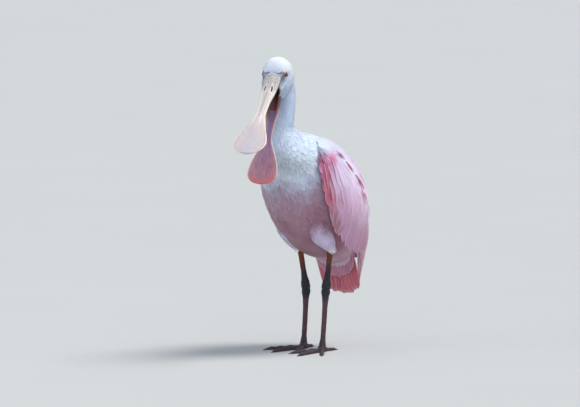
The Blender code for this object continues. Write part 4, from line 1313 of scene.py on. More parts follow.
@dataclass
class Wing:
    """One folded wing: a smooth shell, tiers of long feathers on it and silky wisps over all.

    Attributes:
        side: Which wing.
        reach: How far it comes down the flank, as a share of the other's.
        sunk: Depth of the shell under the feathers' surface.
        core_end: Where the shell ends.
        core_depth: The shell's thickness along it.
    """

    side: Side
    reach: float
    sunk: float = 0.0016
    core_end: float = 0.86
    core_depth: tuple[tuple[float, float], ...] = ((0.0, 0.013), (0.5, 0.014), (0.72, 0.008), (0.86, 0.002))

    def tucked(self, along: Array, across: Array) -> Array:
        """How much deeper the wing lies at its root and front edge, where body feathers come over it."""
        front = smooth(0.84, 1.0, across) * (1 - smooth(0.30, 0.46, along))
        return 0.0095 * (1 - smooth(0.0, 0.13, along)) + 0.0026 * front

    def shell(self, finish: Material) -> None:
        """Builds the outer surface and the same surface deeper in, joined round their edges."""
        along = np.linspace(0, self.core_end, 90)
        across = np.linspace(0, 1, 48)
        outer, out = wing_surface(self.side, along[:, None], across[None] * self.reach)
        depth = np.interp(along, *zip(*self.core_depth))[:, None, None]
        outer = outer - (self.sunk + self.tucked(along[:, None], across[None]))[..., None] * out
        tints = 0.8 * wing_tint(along[:, None] + 0 * across[None], across[None] + 0 * along[:, None], outer)
        grid = np.concatenate([outer, (outer - depth * out)[:, ::-1]], 1)
        tints = np.concatenate([tints, tints[:, ::-1]], 1)
        if self.side is Side.LEFT:
            grid, tints = grid[:, ::-1], tints[:, ::-1]
        rows, sides = grid.shape[:2]
        caps = np.stack([np.arange(sides)[::-1], (rows - 1) * sides + np.arange(sides)])
        vane = np.stack(np.meshgrid(np.linspace(0, 1, sides), along, indexing="xy"), -1)
        word, own = self.side.word, np.full(rows * sides, 0.5)
        Piece(f"wing_shell_{word}", grid, grid_faces(rows, sides), finish, caps, tints, own, None,
              {"Vane": vane}, "wing_feathers", (f"wing_{word}",)).build()

    def tier(self, tier: Tier, rng: np.random.Generator) -> Blades:
        """The feathers of one tier, whose places run straight over the wing's map from root to tip."""
        k = (np.arange(tier.count) + 0.5) / tier.count
        shares = np.linspace(0, 1, len(BROAD))
        roots = tier.line(tier.roots, k) + rng.normal(0, tier.stray, (tier.count, 2))
        tips = tier.line(tier.tips, k) + rng.normal(0, 1.6 * tier.stray, (tier.count, 2))
        way = roots[:, None] + shares[None, :, None] * (tips - roots)[:, None]
        spine, out = wing_surface(self.side, way[..., 0], way[..., 1] * self.reach)
        rise = tier.rise[0] + (tier.rise[1] - tier.rise[0]) * np.minimum(shares * 1.6, 1)
        tilt = 0.0003 * rng.random((tier.count, 1)) - self.tucked(way[..., 0], way[..., 1])
        spine = spine + (rise[None] + tilt)[..., None] * out
        width = tier.width[0] + k * (tier.width[1] - tier.width[0])
        tint = wing_tint(way[..., 0], way[..., 1], spine) * (1 + rng.normal(0, 0.05, (tier.count, 1, 1)))
        # Darker towards the root: painted shade under the overlapping feathers.
        tint = tint * np.linspace(0.88, 1.03, len(shares))[None, :, None]
        edge = mix(tint[:, len(shares) // 2], shade(244, 226, 242), np.full(tier.count, 0.6))
        spots = np.stack([0.72 + 0.1 * (self.side is Side.LEFT) + 0.1 * k, 0.72 + 0.02 * roots[:, 0] * 8], -1)
        half = 0.5 * width[:, None] * np.array(BROAD)
        return Blades(spine, out, half, tint, spots, rng.random(tier.count), thick=0.0006, arch=0.13, top=5,
                      patch=0.006, edge=edge, edge_share=0.55, softness=0.55)

    def flecks(self) -> Blades:
        """A few narrow crimson feathers, which show along the wing's back outline as seen from ahead."""
        roots = np.array([(0.170, 0.430), (0.196, 0.405), (0.268, 0.455), (0.290, 0.480), (0.368, 0.475),
                          (0.400, 0.495), (0.452, 0.560), (0.476, 0.535), (0.560, 0.500)])
        length = np.array([0.082, 0.070, 0.086, 0.060, 0.104, 0.070, 0.078, 0.060, 0.070])
        shares = np.linspace(0, 1, len(WISP))
        along = roots[:, :1] + shares[None] * length[:, None]
        across = roots[:, 1:] + 0.12 * (along - roots[:, :1])
        spine, out = wing_surface(self.side, along, across * self.reach)
        spine = spine + (0.0058 - 0.0008 * (2 * shares - 1) ** 2)[None, :, None] * out
        half = 0.5 * 0.0034 * np.array(WISP)[None] * np.ones((len(roots), 1))
        tint = np.broadcast_to(shade(184, 44, 80), spine.shape)
        return Blades(spine, out, half, tint, 0.5 * roots + 0.2, roots[:, 0], thick=0.0004, arch=0.1)

    def strewn(self, gap: float, size: tuple[float, float], outline: tuple[float, ...],
               lift: tuple[float, float], where: Callable[[Array, Array], Array],
               rng: np.random.Generator) -> Blades:
        """Small feathers or strands on a jittered grid over the wing's map.

        Args:
            gap: Distance between neighbours.
            size: Length and width.
            outline: Shares of the width along each.
            lift: Height of root and tip over the wing's surface.
            where: A function of along and across that gives the share kept.
            rng: The random numbers.

        Returns:
            The feathers.
        """
        steps = gap / WING_LONG, gap / WING_WIDE
        grid = np.meshgrid(np.arange(0.01, 0.72, steps[0]), np.arange(0.0, 1.02, steps[1]), indexing="ij")
        along, across = (axis.ravel() + rng.uniform(-0.5, 0.5, axis.size) * step
                         for axis, step in zip(grid, steps))
        kept = rng.random(len(along)) < where(along, across)
        along, across = along[kept], across[kept]
        order = np.argsort(-along)
        along, across = along[order], across[order]
        shares = np.linspace(0, 1, len(outline))
        run = size[0] * rng.uniform(0.75, 1.25, len(along)) / WING_LONG
        lean = rng.normal(0.15, 0.10, len(along))
        way_along = along[:, None] + shares[None] * run[:, None]
        way_across = np.clip(across[:, None] + shares[None] * (run * lean)[:, None], -0.02, 1.04)
        spine, out = wing_surface(self.side, way_along, way_across * self.reach)
        rise = lift[0] + (lift[1] - lift[0]) * shares[None] * rng.uniform(0.8, 1.2, (len(along), 1))
        rise = rise - self.tucked(way_along, way_across)
        spine = spine + rise[..., None] * out
        colour = wing_tint(along, across, spine[:, 0]) * (1 + rng.normal(0, 0.04, (len(along), 1)))
        colour = mix(colour, shade(246, 232, 248), np.full(len(along), 0.08))
        spots = np.stack([0.02 + 0.6 * across, 0.76 + 0.2 * along], -1)
        half = 0.5 * size[1] * np.array(outline) * rng.uniform(0.8, 1.2, (len(along), 1))
        tints = np.repeat(colour[:, None], len(outline), 1)
        return Blades(spine, out, half, tints, spots, rng.random(len(along)), thick=0.0003, arch=0.12)

    def build(self, plumes: Material, silk: Material, seed: int) -> None:
        """Builds the shell, the tiers, the small coverts of the shoulder, the flecks and the silky strands.

        Args:
            plumes: The long feathers' material.
            silk: The small ones' material.
            seed: Starts the random numbers.
        """
        rng, word = np.random.default_rng(seed), self.side.word
        self.shell(plumes)
        for tier in WING_TIERS:
            self.tier(tier, rng).build(f"wing_{tier.name}_{word}", plumes, "wing_feathers")

        def shoulder(along: Array, across: Array) -> Array:
            """The front of the shoulder."""
            front = smooth(0.44, 0.60, across) * (1 - smooth(0.22, 0.28, along))
            return front + 1 - smooth(0.10, 0.16, along)

        def upper(along: Array, across: Array) -> Array:
            """The upper two thirds, but for the back edge."""
            return (1 - smooth(0.25, 0.62, along)) * smooth(0.18, 0.36, across) * smooth(0.06, 0.12, along)

        self.strewn(0.0050, (0.019, 0.0092), ROUND, (0.0008, 0.0024), shoulder, rng).build(
            f"wing_lesser_coverts_{word}", silk, "wing_feathers")
        self.flecks().build(f"wing_flecks_{word}", silk, "wing_feathers")
        self.strewn(0.0060, (0.028, 0.0012), WISP, (0.0024, 0.0030), upper, rng).build(
            f"wing_silk_{word}", silk, "wing_feathers")


@dataclass(frozen=True)
class Mantle:
    """Long soft feathers that close the back between the wings, like slates from the rump up.

    Attributes:
        rows: Where each row is rooted and where it ends, along the wings, and how many feathers it has.
        spread: How far beyond the wings' back edges the outermost ones lie.
        widest: The most that they may lie from the middle.
        rise: Height of the middle over the line between those edges.
    """

    rows: tuple[tuple[float, float, int], ...] = (
        (0.60, 0.82, 5), (0.50, 0.74, 6), (0.41, 0.66, 7), (0.32, 0.56, 9), (0.24, 0.46, 10),
        (0.17, 0.37, 12), (0.11, 0.29, 13), (0.06, 0.21, 15),
    )
    spread: float = 1.34
    widest: float = 0.029
    rise: float = 0.0046

    def feathers(self, start: float, end: float, count: int, rng: np.random.Generator) -> Blades:
        """One row, evenly from the right wing to the left: across by s, out by rise (1.3 - 0.8 s^2).

        Args:
            start: Where its feathers are rooted, along the wings.
            end: Where they end.
            count: How many.
            rng: The random numbers.

        Returns:
            The feathers.
        """
        last = len(WING_BACK_RAIL) - 1
        wide = min(self.spread, self.widest / spline(WING_BACK_RAIL, np.array([start * last]))[0, 0])
        s = np.linspace(-wide, wide, count) + rng.normal(0, 0.05, count)
        shares = np.linspace(0, 1, len(BROAD))
        size = 1 + rng.normal(0, 0.09, count) - 0.12 * s**2
        along = start + shares[None] * ((end - start) * size)[:, None]
        before, rail, after = (spline(WING_BACK_RAIL, along * last + shift) for shift in (-0.1, 0.0, 0.1))
        out = np.cross(unit((after - before) * [0, -1, 1]), -LEFTWARDS)
        out = unit(out + 0.5 * s[:, None, None] * LEFTWARDS)
        spine = np.stack([rail[..., 0] * s[:, None], -rail[..., 1], rail[..., 2]], -1)
        lift = self.rise * (1.3 - 0.8 * s[:, None] ** 2) - 0.003 * (1 - shares[None]) ** 2
        spine = spine + lift[..., None] * out
        colour = mix(shade(216, 226, 240), shade(212, 166, 192), smooth(0.26, 0.62, along))
        colour = colour * (1 + rng.normal(0, 0.03, (count, 1, 1)))
        # Darker towards the root: painted shade under the overlapping feathers.
        colour = colour * np.linspace(0.90, 1.03, len(shares))[:, None]
        spots = np.stack([0.72 + 0.08 * (s + 1.3), np.full(count, 0.60 + 0.05 * start)], -1)
        half = 0.5 * (0.0095 + 0.016 * min(start, 0.45)) * np.array(BROAD) * size[:, None]
        own = rng.random(count)
        return Blades(spine, out, half, colour, spots, own, thick=0.0005, arch=0.10, top=5, patch=0.006)

    def build(self, plumes: Material) -> None:
        """Builds every row as one piece."""
        rng = np.random.default_rng(31)
        rows = [self.feathers(*row, rng) for row in self.rows]
        joined_blades(rows).build("mantle_plumes", plumes, "body_feathers")


def joined_blades(groups: list[Blades]) -> Blades:
    """Several groups of blades with the same sections as one."""
    return replace(groups[0], **{word: np.concatenate([getattr(group, word) for group in groups])
                                 for word in EACH_BLADE})


@dataclass
class Tail:
    """The short tail: a broad paddle of feathers, with soft coverts under and over their roots.

    Attributes:
        root: Where it leaves the rump: forward and up.
        tip: Where the middle feathers end.
        spread: The outermost feathers' turn.
    """

    root: tuple[float, float] = TAIL_ROOT
    tip: tuple[float, float] = TAIL_TIP
    spread: float = math.radians(-1.2)

    def fan(self, count: int, ends: tuple[float, float], lift: tuple[float, float], step: float, width: float,
            base: float, bow: float, tint: Array, rng: np.random.Generator,
            outline: tuple[float, ...] = BROAD) -> Blades:
        """Feathers side by side in the tail's plane, turned evenly from one side to the other.

        Args:
            count: How many.
            ends: Where they start and end along the tail.
            lift: Height over its plane at root and tip.
            step: Change of height from each to the next, outwards from the middle.
            width: Greatest width.
            base: How far to the side the outermost ones are rooted.
            bow: How much shorter the outermost ones are, as a share of the tail.
            tint: Their colour.
            rng: The random numbers.
            outline: Shares of the width along a feather.

        Returns:
            The feathers.
        """
        root, tip = at(0, *self.root), at(0, *self.tip)
        run, length = unit(tip - root), np.linalg.norm(tip - root)
        up = np.cross(LEFTWARDS, run)
        aside = np.linspace(-1, 1, count)
        turn = self.spread * aside + rng.normal(0, 0.006, count)
        ahead = np.cos(turn)[:, None] * run + np.sin(turn)[:, None] * LEFTWARDS
        shares = np.linspace(0, 1, len(outline))
        far = ends[1] + rng.normal(0, 0.010, count) - bow * np.abs(aside) ** 2.4
        places = (ends[0] + shares[None] * (far - ends[0])[:, None]) * length
        steps = np.abs(np.arange(count) - (count - 1) / 2)
        height = lift[0] + shares * (lift[1] - lift[0]) + steps[:, None] * step - 0.004 * shares**2
        spine = root + places[..., None] * ahead[:, None] + height[..., None] * up
        spine = spine + (base * aside)[:, None, None] * LEFTWARDS
        colour = tint * (1 + rng.normal(0, 0.05, (count, 1)))
        tints = mix(colour[:, None], shade(206, 104, 120), 0.75 * smooth(0.25, 1.0, places / length))
        tints = mix(tints, shade(236, 190, 198), 0.45 * smooth(0.94, 1.0, shares)[None] + 0 * places)
        spots = np.stack([0.82 + 0.1 * aside, np.full(count, 0.68 + 10 * lift[1])], -1)
        rims = mix(colour, shade(240, 196, 204), np.full(count, 0.6))
        half = 0.5 * width * np.array(outline) * np.ones((count, 1))
        out = np.broadcast_to(up, spine.shape)
        return Blades(spine, out, half, tints, spots, rng.random(count), thick=0.0008, arch=0.14, top=5,
                      patch=0.006, edge=rims, edge_share=0.35, softness=0.0)

    def build(self, plumes: Material) -> None:
        """Builds the fan, the coverts over and under it and the tufts."""
        rng = np.random.default_rng(77)
        coral, mauve, rose = shade(200, 92, 106), shade(200, 142, 172), shade(208, 126, 150)
        pale = mix(mauve, Colours.SNOW, 0.4)
        fan = self.fan(11, (0.08, 1.00), (0.0, 0.0020), -0.0004, 0.0165, 0.0335, 0.10, coral, rng, BLUNT)
        fan.build("tail_fan", plumes, "tail_feathers", ("tail",))
        for word, *row in (
            ("upper_coverts", 9, (0.0, 0.62), (0.0030, 0.0042), 0.0, 0.016, 0.029, 0.2, rose),
            ("under_coverts", 10, (0.02, 0.66), (-0.0020, -0.0046), 0.0003, 0.017, 0.032, 0.14, mauve),
            ("under_tufts", 9, (-0.04, 0.46), (-0.0050, -0.0080), 0.0004, 0.017, 0.031, 0.10, pale),
        ):
            self.fan(*row, rng).build(f"tail_{word}", plumes, "tail_feathers")


@dataclass
class Bill:
    """One half of the bill: a long spoon with ridges, grooves and a rim, tinted by formula.

    Attributes:
        name: The piece's name.
        stations: Distance, half width, top and underside along it.
        slot: The record's material slot.
        node: The solid that it replaces.
        fullness: How square its section is.
        rows: Rings along it.
        sides: Points round it.
    """

    name: str
    stations: list[tuple[float, float, float, float]]
    slot: str
    node: str
    fullness: float = 2.3
    rows: int = 330
    sides: int = 128

    def rings(self) -> tuple[Array, Array, Array, Array]:
        """The plain surface, and for each point how far along and across it is, and 1 on the upper face."""
        along, half, top, under = spline(self.stations, np.linspace(0, len(self.stations) - 1, self.rows)).T
        turns, zero = full_turn(self.sides), 0 * along
        middle = np.stack([zero, -along, (top + under) / 2], -1)
        tall = np.stack([zero, zero, (top - under) / 2], -1)
        wide = np.stack([half, zero, zero], -1)
        points = oval(middle, tall, wide, turns, self.fullness)
        across = points[..., 0] / half[:, None]
        upper = np.broadcast_to(smooth(-0.12, 0.12, np.cos(turns)), across.shape)
        return points, along[:, None] + 0 * across, across, upper


@dataclass
class UpperBill(Bill):
    """The upper half, with the nostrils."""

    nostril_along: float = 0.0325
    nostril_aside: float = 0.0062

    def nostril(self, points: Array) -> Array:
        """How far from a nostril's middle each point is: 1 on its rim."""
        ahead = -points[..., 1] - self.nostril_along
        aside = np.abs(points[..., 0]) - self.nostril_aside - 0.10 * ahead
        return np.hypot(aside / 0.00125, ahead / 0.0052)

    def build(self, finish: Material) -> None:
        """Adds the relief and the tints to the plain surface."""
        points, along, across, upper = self.rings()
        flat = np.abs(across)
        ridge = 0.0006 * bump(across, 0, 0.24) * (1 - smooth(0.085, 0.125, along))
        groove = -0.0007 * bump(flat, 0.60 - 0.10 * smooth(0.04, 0.1, along), 0.085)
        groove = groove * smooth(0.024, 0.040, along) * (1 - smooth(0.105, 0.135, along))
        rim = 0.0004 * smooth(0.86, 0.97, flat)
        knobs = 0.00026 * ripple(points, 0.0016, 31) * (1 - smooth(0.020, 0.050, along))
        folds = 0.00012 * ripple(points * np.array([1, 0.4, 1]), 0.006, 32) * smooth(0.03, 0.07, along)
        away = self.nostril(points)
        pit = -0.0042 * (1 - smooth(0.35, 1.15, away)) + 0.0004 * bump(away, 1.7, 0.5)
        points[..., 2] += upper * (ridge + groove + rim + knobs + folds + pit)
        points[..., 2] += (1 - upper) * (0.0006 * bump(flat, 0.72, 0.1) - 0.0006 * bump(across, 0, 0.5))
        tints = self.tint(points, along, across, upper, away)
        lofted(self.name, [place(upper_matrix(), points)], finish, tints, self.slot, (self.node,))

    def tint(self, points: Array, along: Array, across: Array, upper: Array, away: Array) -> Array:
        """Mottled grey-brown at the base, an olive-grey middle between cream sides, and a pink-grey spoon."""
        flat = np.abs(across)
        mottle = 0.5 + 0.5 * ripple(points, 0.0013, 33)
        cream, olive, grey = shade(232, 216, 208), shade(170, 160, 152), shade(142, 134, 136)
        middle = bump(across, 0, 0.30) * (1 - smooth(0.066, 0.110, along)) * smooth(0.03, 0.045, along)
        grooves = bump(flat, 0.48, 0.10) * smooth(0.034, 0.044, along) * (1 - smooth(0.060, 0.100, along))
        colour = mix(cream, olive, np.clip(0.8 * middle + 0.45 * grooves, 0, 1))
        colour = mix(colour, grey, (1 - smooth(0.024, 0.044, along)) * (0.20 + 0.75 * mottle))
        colour = mix(shade(212, 218, 224), colour, smooth(0.0005, 0.0050, along + 0.0012 * mottle))
        colour = mix(colour, shade(206, 190, 186), smooth(0.080, 0.120, along))
        blot = 0.5 + 0.5 * ripple(points, 0.016, 34)
        bloom = smooth(0.105, 0.150, along) * (0.15 + 0.55 * blot) * bump(flat, 0.1, 0.5)
        colour = mix(colour, shade(184, 178, 200), bloom)
        edge = (0.875 + 0.02 * ripple(points, 0.012, 35), 0.030)
        colour = mix(colour, shade(204, 142, 124), 0.55 * smooth(0.10, 0.14, along) * bump(flat, *edge))
        colour = mix(colour, shade(236, 222, 214), smooth(0.92, 0.97, flat) * smooth(0.03, 0.06, along))
        spot = np.hypot(points[..., 0] + 0.0015, -points[..., 1] - 0.0885)
        colour = mix(colour, shade(120, 84, 86), 0.85 * (1 - smooth(0.0007, 0.0013, spot)) * upper)
        colour = mix(colour, shade(232, 214, 208), 0.7 * bump(away, 1.75, 0.45) * upper)
        # Near black in the nostrils: painted shade in their pits.
        colour = mix(colour, shade(14, 9, 9), (1 - smooth(0.85, 1.15, away)) * upper)
        inside = mix(shade(120, 62, 66), shade(196, 158, 160), smooth(0.03, 0.10, along))
        return mix(inside, colour, upper)


@dataclass
class LowerBill(Bill):
    """The lower half, whose inside shows: two rami with a sunk floor between them, and a spoon."""

    def build(self, finish: Material) -> None:
        """Sinks the mouth's floor, raises the edges and tints the whole."""
        points, along, across, upper = self.rings()
        flat = np.abs(across)
        shaft = 1 - smooth(0.098, 0.125, along)
        floor = -0.0034 * (1 - smooth(0.045, 0.075, along)) - 0.0011 * shaft
        rise = floor * (1 - smooth(0.50, 0.74, flat)) + 0.0004 * bump(flat, 0.80, 0.10) * shaft
        points[..., 2] += upper * rise
        points[..., 2] += upper * 0.0004 * smooth(0.88, 0.97, flat) * (1 - shaft)
        streaks = 0.00016 * ripple(points * np.array([1, 0.16, 1]), 0.0035, 41) * smooth(0.09, 0.12, along)
        points[..., 2] += upper * streaks
        tints = self.tint(points, along, across, upper)
        lofted(self.name, [place(lower_matrix(), points)], finish, tints, self.slot, (self.node,))

    def tint(self, points: Array, along: Array, across: Array, upper: Array) -> Array:
        """Maroon throat, near black deep inside by painted shade, mauve floor between brownish-pink rami, and
        a dusky rose spoon with a coral rim.
        """
        flat = np.abs(across)
        start = along + 0.0012 * ripple(points, 0.006, 42) + 0.007 * flat**2
        # The throat's maroon lining turns near black deep inside: painted shade.
        floor = mix(shade(36, 2, 3), shade(98, 8, 10), smooth(0.020, 0.041, start))
        floor = mix(floor, shade(120, 92, 124), smooth(0.0425, 0.0465, start))
        line = 0.5 + 0.5 * ripple(points * np.array([1, 0.12, 1]), 0.0015, 43)
        floor = mix(floor, mix(shade(108, 108, 152), shade(150, 118, 152), line), smooth(0.050, 0.085, along))
        ramus = mix(shade(120, 88, 84), shade(182, 136, 130), smooth(0.02, 0.07, along))
        colour = mix(floor, ramus, smooth(0.42, 0.62, flat))
        spoon = mix(shade(144, 98, 124), shade(186, 132, 146), line)
        spoon = mix(spoon, shade(128, 110, 150), 0.75 * (1 - smooth(0.100, 0.150, along)) * (1 - 0.6 * line))
        spoon = mix(spoon, shade(198, 138, 142), 0.45 * smooth(0.45, 0.85, flat))
        colour = mix(colour, spoon, smooth(0.086, 0.112, along))
        colour = mix(colour, shade(226, 200, 190), smooth(0.90, 0.97, flat) * smooth(0.03, 0.06, along))
        rim = smooth(0.0, 0.9, flat + smooth(0.160, 0.175, along))
        colour = mix(colour, shade(208, 104, 100), 0.8 * smooth(0.150, 0.173, along + 0.004 * line) * rim)
        under = mix(shade(176, 160, 160), shade(214, 184, 184), smooth(0.03, 0.10, along))
        return mix(under, colour, upper)


def gape_folds(finish: Material) -> None:
    """The folds of skin at the corners of the mouth: tubes from the upper bill's edge down to the jaw's rim.

    Each runs through three places of the head and four of the lower bill, and thins out along the jaw.
    """
    grids = []
    for side in Side:
        s = side.value
        head = np.array([(s * 0.0118, 0.0020, -0.0165), (s * 0.0130, 0.0024, -0.0245),
                         (s * 0.0134, 0.0030, -0.0335)])
        jaw = np.array([(s * 0.0110, -0.0085, -0.0158), (s * 0.0114, -0.0160, -0.0156),
                        (s * 0.0118, -0.0260, -0.0156), (s * 0.0120, -0.0380, -0.0158)])
        rows = np.concatenate([place(head_matrix(), head), place(lower_matrix(), jaw)])
        radii = np.array([0.0008, 0.0014, 0.0019, 0.0019, 0.0016, 0.0011, 0.0004])
        steps = np.linspace(0, 6, 80)
        grids.append(tube(spline(rows, steps), spline(radii[:, None], steps)[:, 0], 24))
    points = np.stack(grids)
    fade = np.linspace(0, 1, points.shape[1])[None, :, None] + 0.08 * ripple(points, 0.003, 53)
    tints = mix(shade(206, 196, 200), shade(160, 116, 108), smooth(0.15, 0.5, fade))
    lofted("gape_folds", grids, finish, tints, "bill_lower")


@dataclass
class Eye:
    """An eye with its lids.

    Attributes:
        side: Which eye.
        radius: The ball's radius.
        pupil: Angle from the axis to the pupil's edge.
        iris: Angle to the iris's edge.
        lid_end: Angle to the lids' far edge, under the head's skin.
        lid_rings: Rings of the lids' outer and inner face.
    """

    side: Side
    radius: float = 0.0064
    pupil: float = 0.38
    iris: float = 0.92
    lid_end: float = 2.15
    lid_rings: tuple[int, int] = (18, 10)

    def ball(self, finish: Material) -> None:
        """Builds a sphere round the axis of sight, with the iris and pupil tinted by the angle from it."""
        polar, turns = np.linspace(0.012, math.pi - 0.012, 72), full_turn(96)
        bulge = self.radius * (1 + 0.03 * bump(polar, 0, 0.6))
        ring = np.stack([np.cos(turns), np.sin(turns), 0 * turns], -1)
        points = np.sin(polar)[:, None, None] * ring + np.cos(polar)[:, None, None] * UPWARDS
        points = bulge[:, None, None] * points
        spokes = 0.5 + 0.5 * ripple(points * np.array([1.0, 1.0, 0.2]), 0.0012, 51)
        polar = polar[:, None] + 0 * spokes
        light = (0.25 + 0.6 * spokes) * smooth(0.40, 0.75, polar)
        amber = mix(shade(150, 72, 20), shade(226, 150, 52), light)
        colour = mix(shade(6, 5, 6), amber, smooth(self.pupil - 0.03, self.pupil + 0.03, polar))
        colour = mix(colour, shade(40, 22, 16), smooth(self.iris - 0.08, self.iris, polar))
        word = self.side.word
        points = place(eye_matrix(self.side), points)
        lofted(f"eyeball_{word}", [points], finish, colour, "eye", (f"eye_{word}",))

    def lids(self, finish: Material) -> None:
        """Builds bare skin over the ball's sides, up to a thick rim round the opening and back inside it.

        The ring is carried round the axis of sight. At the angle p from it the outer face is at
        radius + 0.0004 + 0.0007 exp(-((p - opening) / 0.16)^2), and the inner one just over the ball.
        """
        turns = full_turn(96)
        opening = 0.80 + 0.07 * np.cos(2 * turns) + 0.04 * np.cos(turns)
        over, under = self.lid_rings
        share = np.concatenate([np.linspace(0, 1, over), np.linspace(1, 0, under)])
        outer = np.arange(over + under) < over
        polar = opening[:, None] + share * (self.lid_end - opening[:, None])
        creases = np.stack([9 * polar, np.cos(3 * turns)[:, None] + 0 * polar, 0 * polar], -1)
        fold = 0.00012 * ripple(creases, 1.0, 52)
        height = np.where(outer, 0.0004 + 0.0007 * bump(polar, opening[:, None] + 0.10, 0.16) + fold, 0.00012)
        reach = self.radius + height
        ring = np.stack([np.cos(turns), np.sin(turns), 0 * turns], -1)
        points = (reach * np.sin(polar))[..., None] * ring[:, None]
        points = points + (reach * np.cos(polar))[..., None] * UPWARDS
        skin = mix(shade(150, 166, 190), shade(196, 208, 224), smooth(0.35, 0.9, polar - opening[:, None]))
        tints = mix(shade(64, 74, 104), skin, smooth(0.06, 0.26, polar - opening[:, None]) * outer)
        rows, sides = polar.shape
        begin = np.arange(sides)
        last = (rows - 1) * sides + begin
        closing = np.stack([last, np.roll(last, -1), np.roll(begin, -1), begin], -1)
        quads = np.concatenate([grid_faces(rows, sides), closing])
        Piece(f"eyelid_{self.side.word}", place(eye_matrix(self.side), points), quads, finish, tints=tints,
              slot="neck_feathers").build()


@dataclass
class Toe:
    """One toe: its turn outwards from straight ahead, its length with no claw, and its radius at its root."""

    name: str
    turn: float
    length: float
    radius: float
    ribs: tuple[tuple[float, float], ...] = (
        (0.0, 1.05), (0.22, 0.86), (0.36, 1.0), (0.50, 0.80), (0.64, 0.92), (0.78, 0.72), (0.90, 0.82),
        (1.0, 0.55),
    )

    def ahead(self, side: Side) -> Array:
        """The direction that the toe points in."""
        angle = math.radians(self.turn) * side.value
        return np.array([math.sin(angle), -math.cos(angle), 0.0])

    def rings(self, side: Side, foot: Array) -> Array:
        """Half-round rings along the toe, flat below, with small plates across the top."""
        shares = np.linspace(0, 1, 110)
        places, sizes = np.array(self.ribs).T
        half = self.radius * spline(sizes[:, None], np.interp(shares, places, range(len(places))))
        arch = np.concatenate([np.linspace(0, math.pi, 17), np.linspace(math.pi, 2 * math.pi, 9)[1:-1]])
        high = np.where(arch <= math.pi, 1.7 * np.sin(arch), 0.0)
        plates = 1 + 0.05 * np.abs(np.sin(shares * self.length * math.pi / 0.0026)) ** 0.5
        ahead = self.ahead(side)
        section = np.cos(arch)[None, :, None] * half[:, :, None] * np.cross(UPWARDS, ahead)
        section = section + (high[None] * half * plates[:, None])[..., None] * UPWARDS
        return (foot + (shares * self.length)[:, None] * ahead)[:, None] + section

    def claw(self, side: Side, foot: Array, length: float) -> Array:
        """A cone that bends down from the toe's end to the floor."""
        shares = np.linspace(0, 1, 24)
        ahead = self.ahead(side)
        half = 0.60 * self.radius * (1 - shares) ** 0.8 + 0.0001
        rise = 0.5 * (0.0034 * (1 - shares**1.6) + 0.0003)[:, None] * UPWARDS
        spine = foot + (self.length - 0.0015 + shares * length)[:, None] * ahead + rise
        return oval(spine, rise, 0.7 * half[:, None] * np.cross(UPWARDS, ahead), full_turn(16), 2.0)


TOES = (
    Toe("inner", -22, 0.060, 0.0040),
    Toe("middle", 5, 0.078, 0.0042),
    Toe("outer", 34, 0.066, 0.0040),
    Toe("hind", 172, 0.031, 0.0034),
)


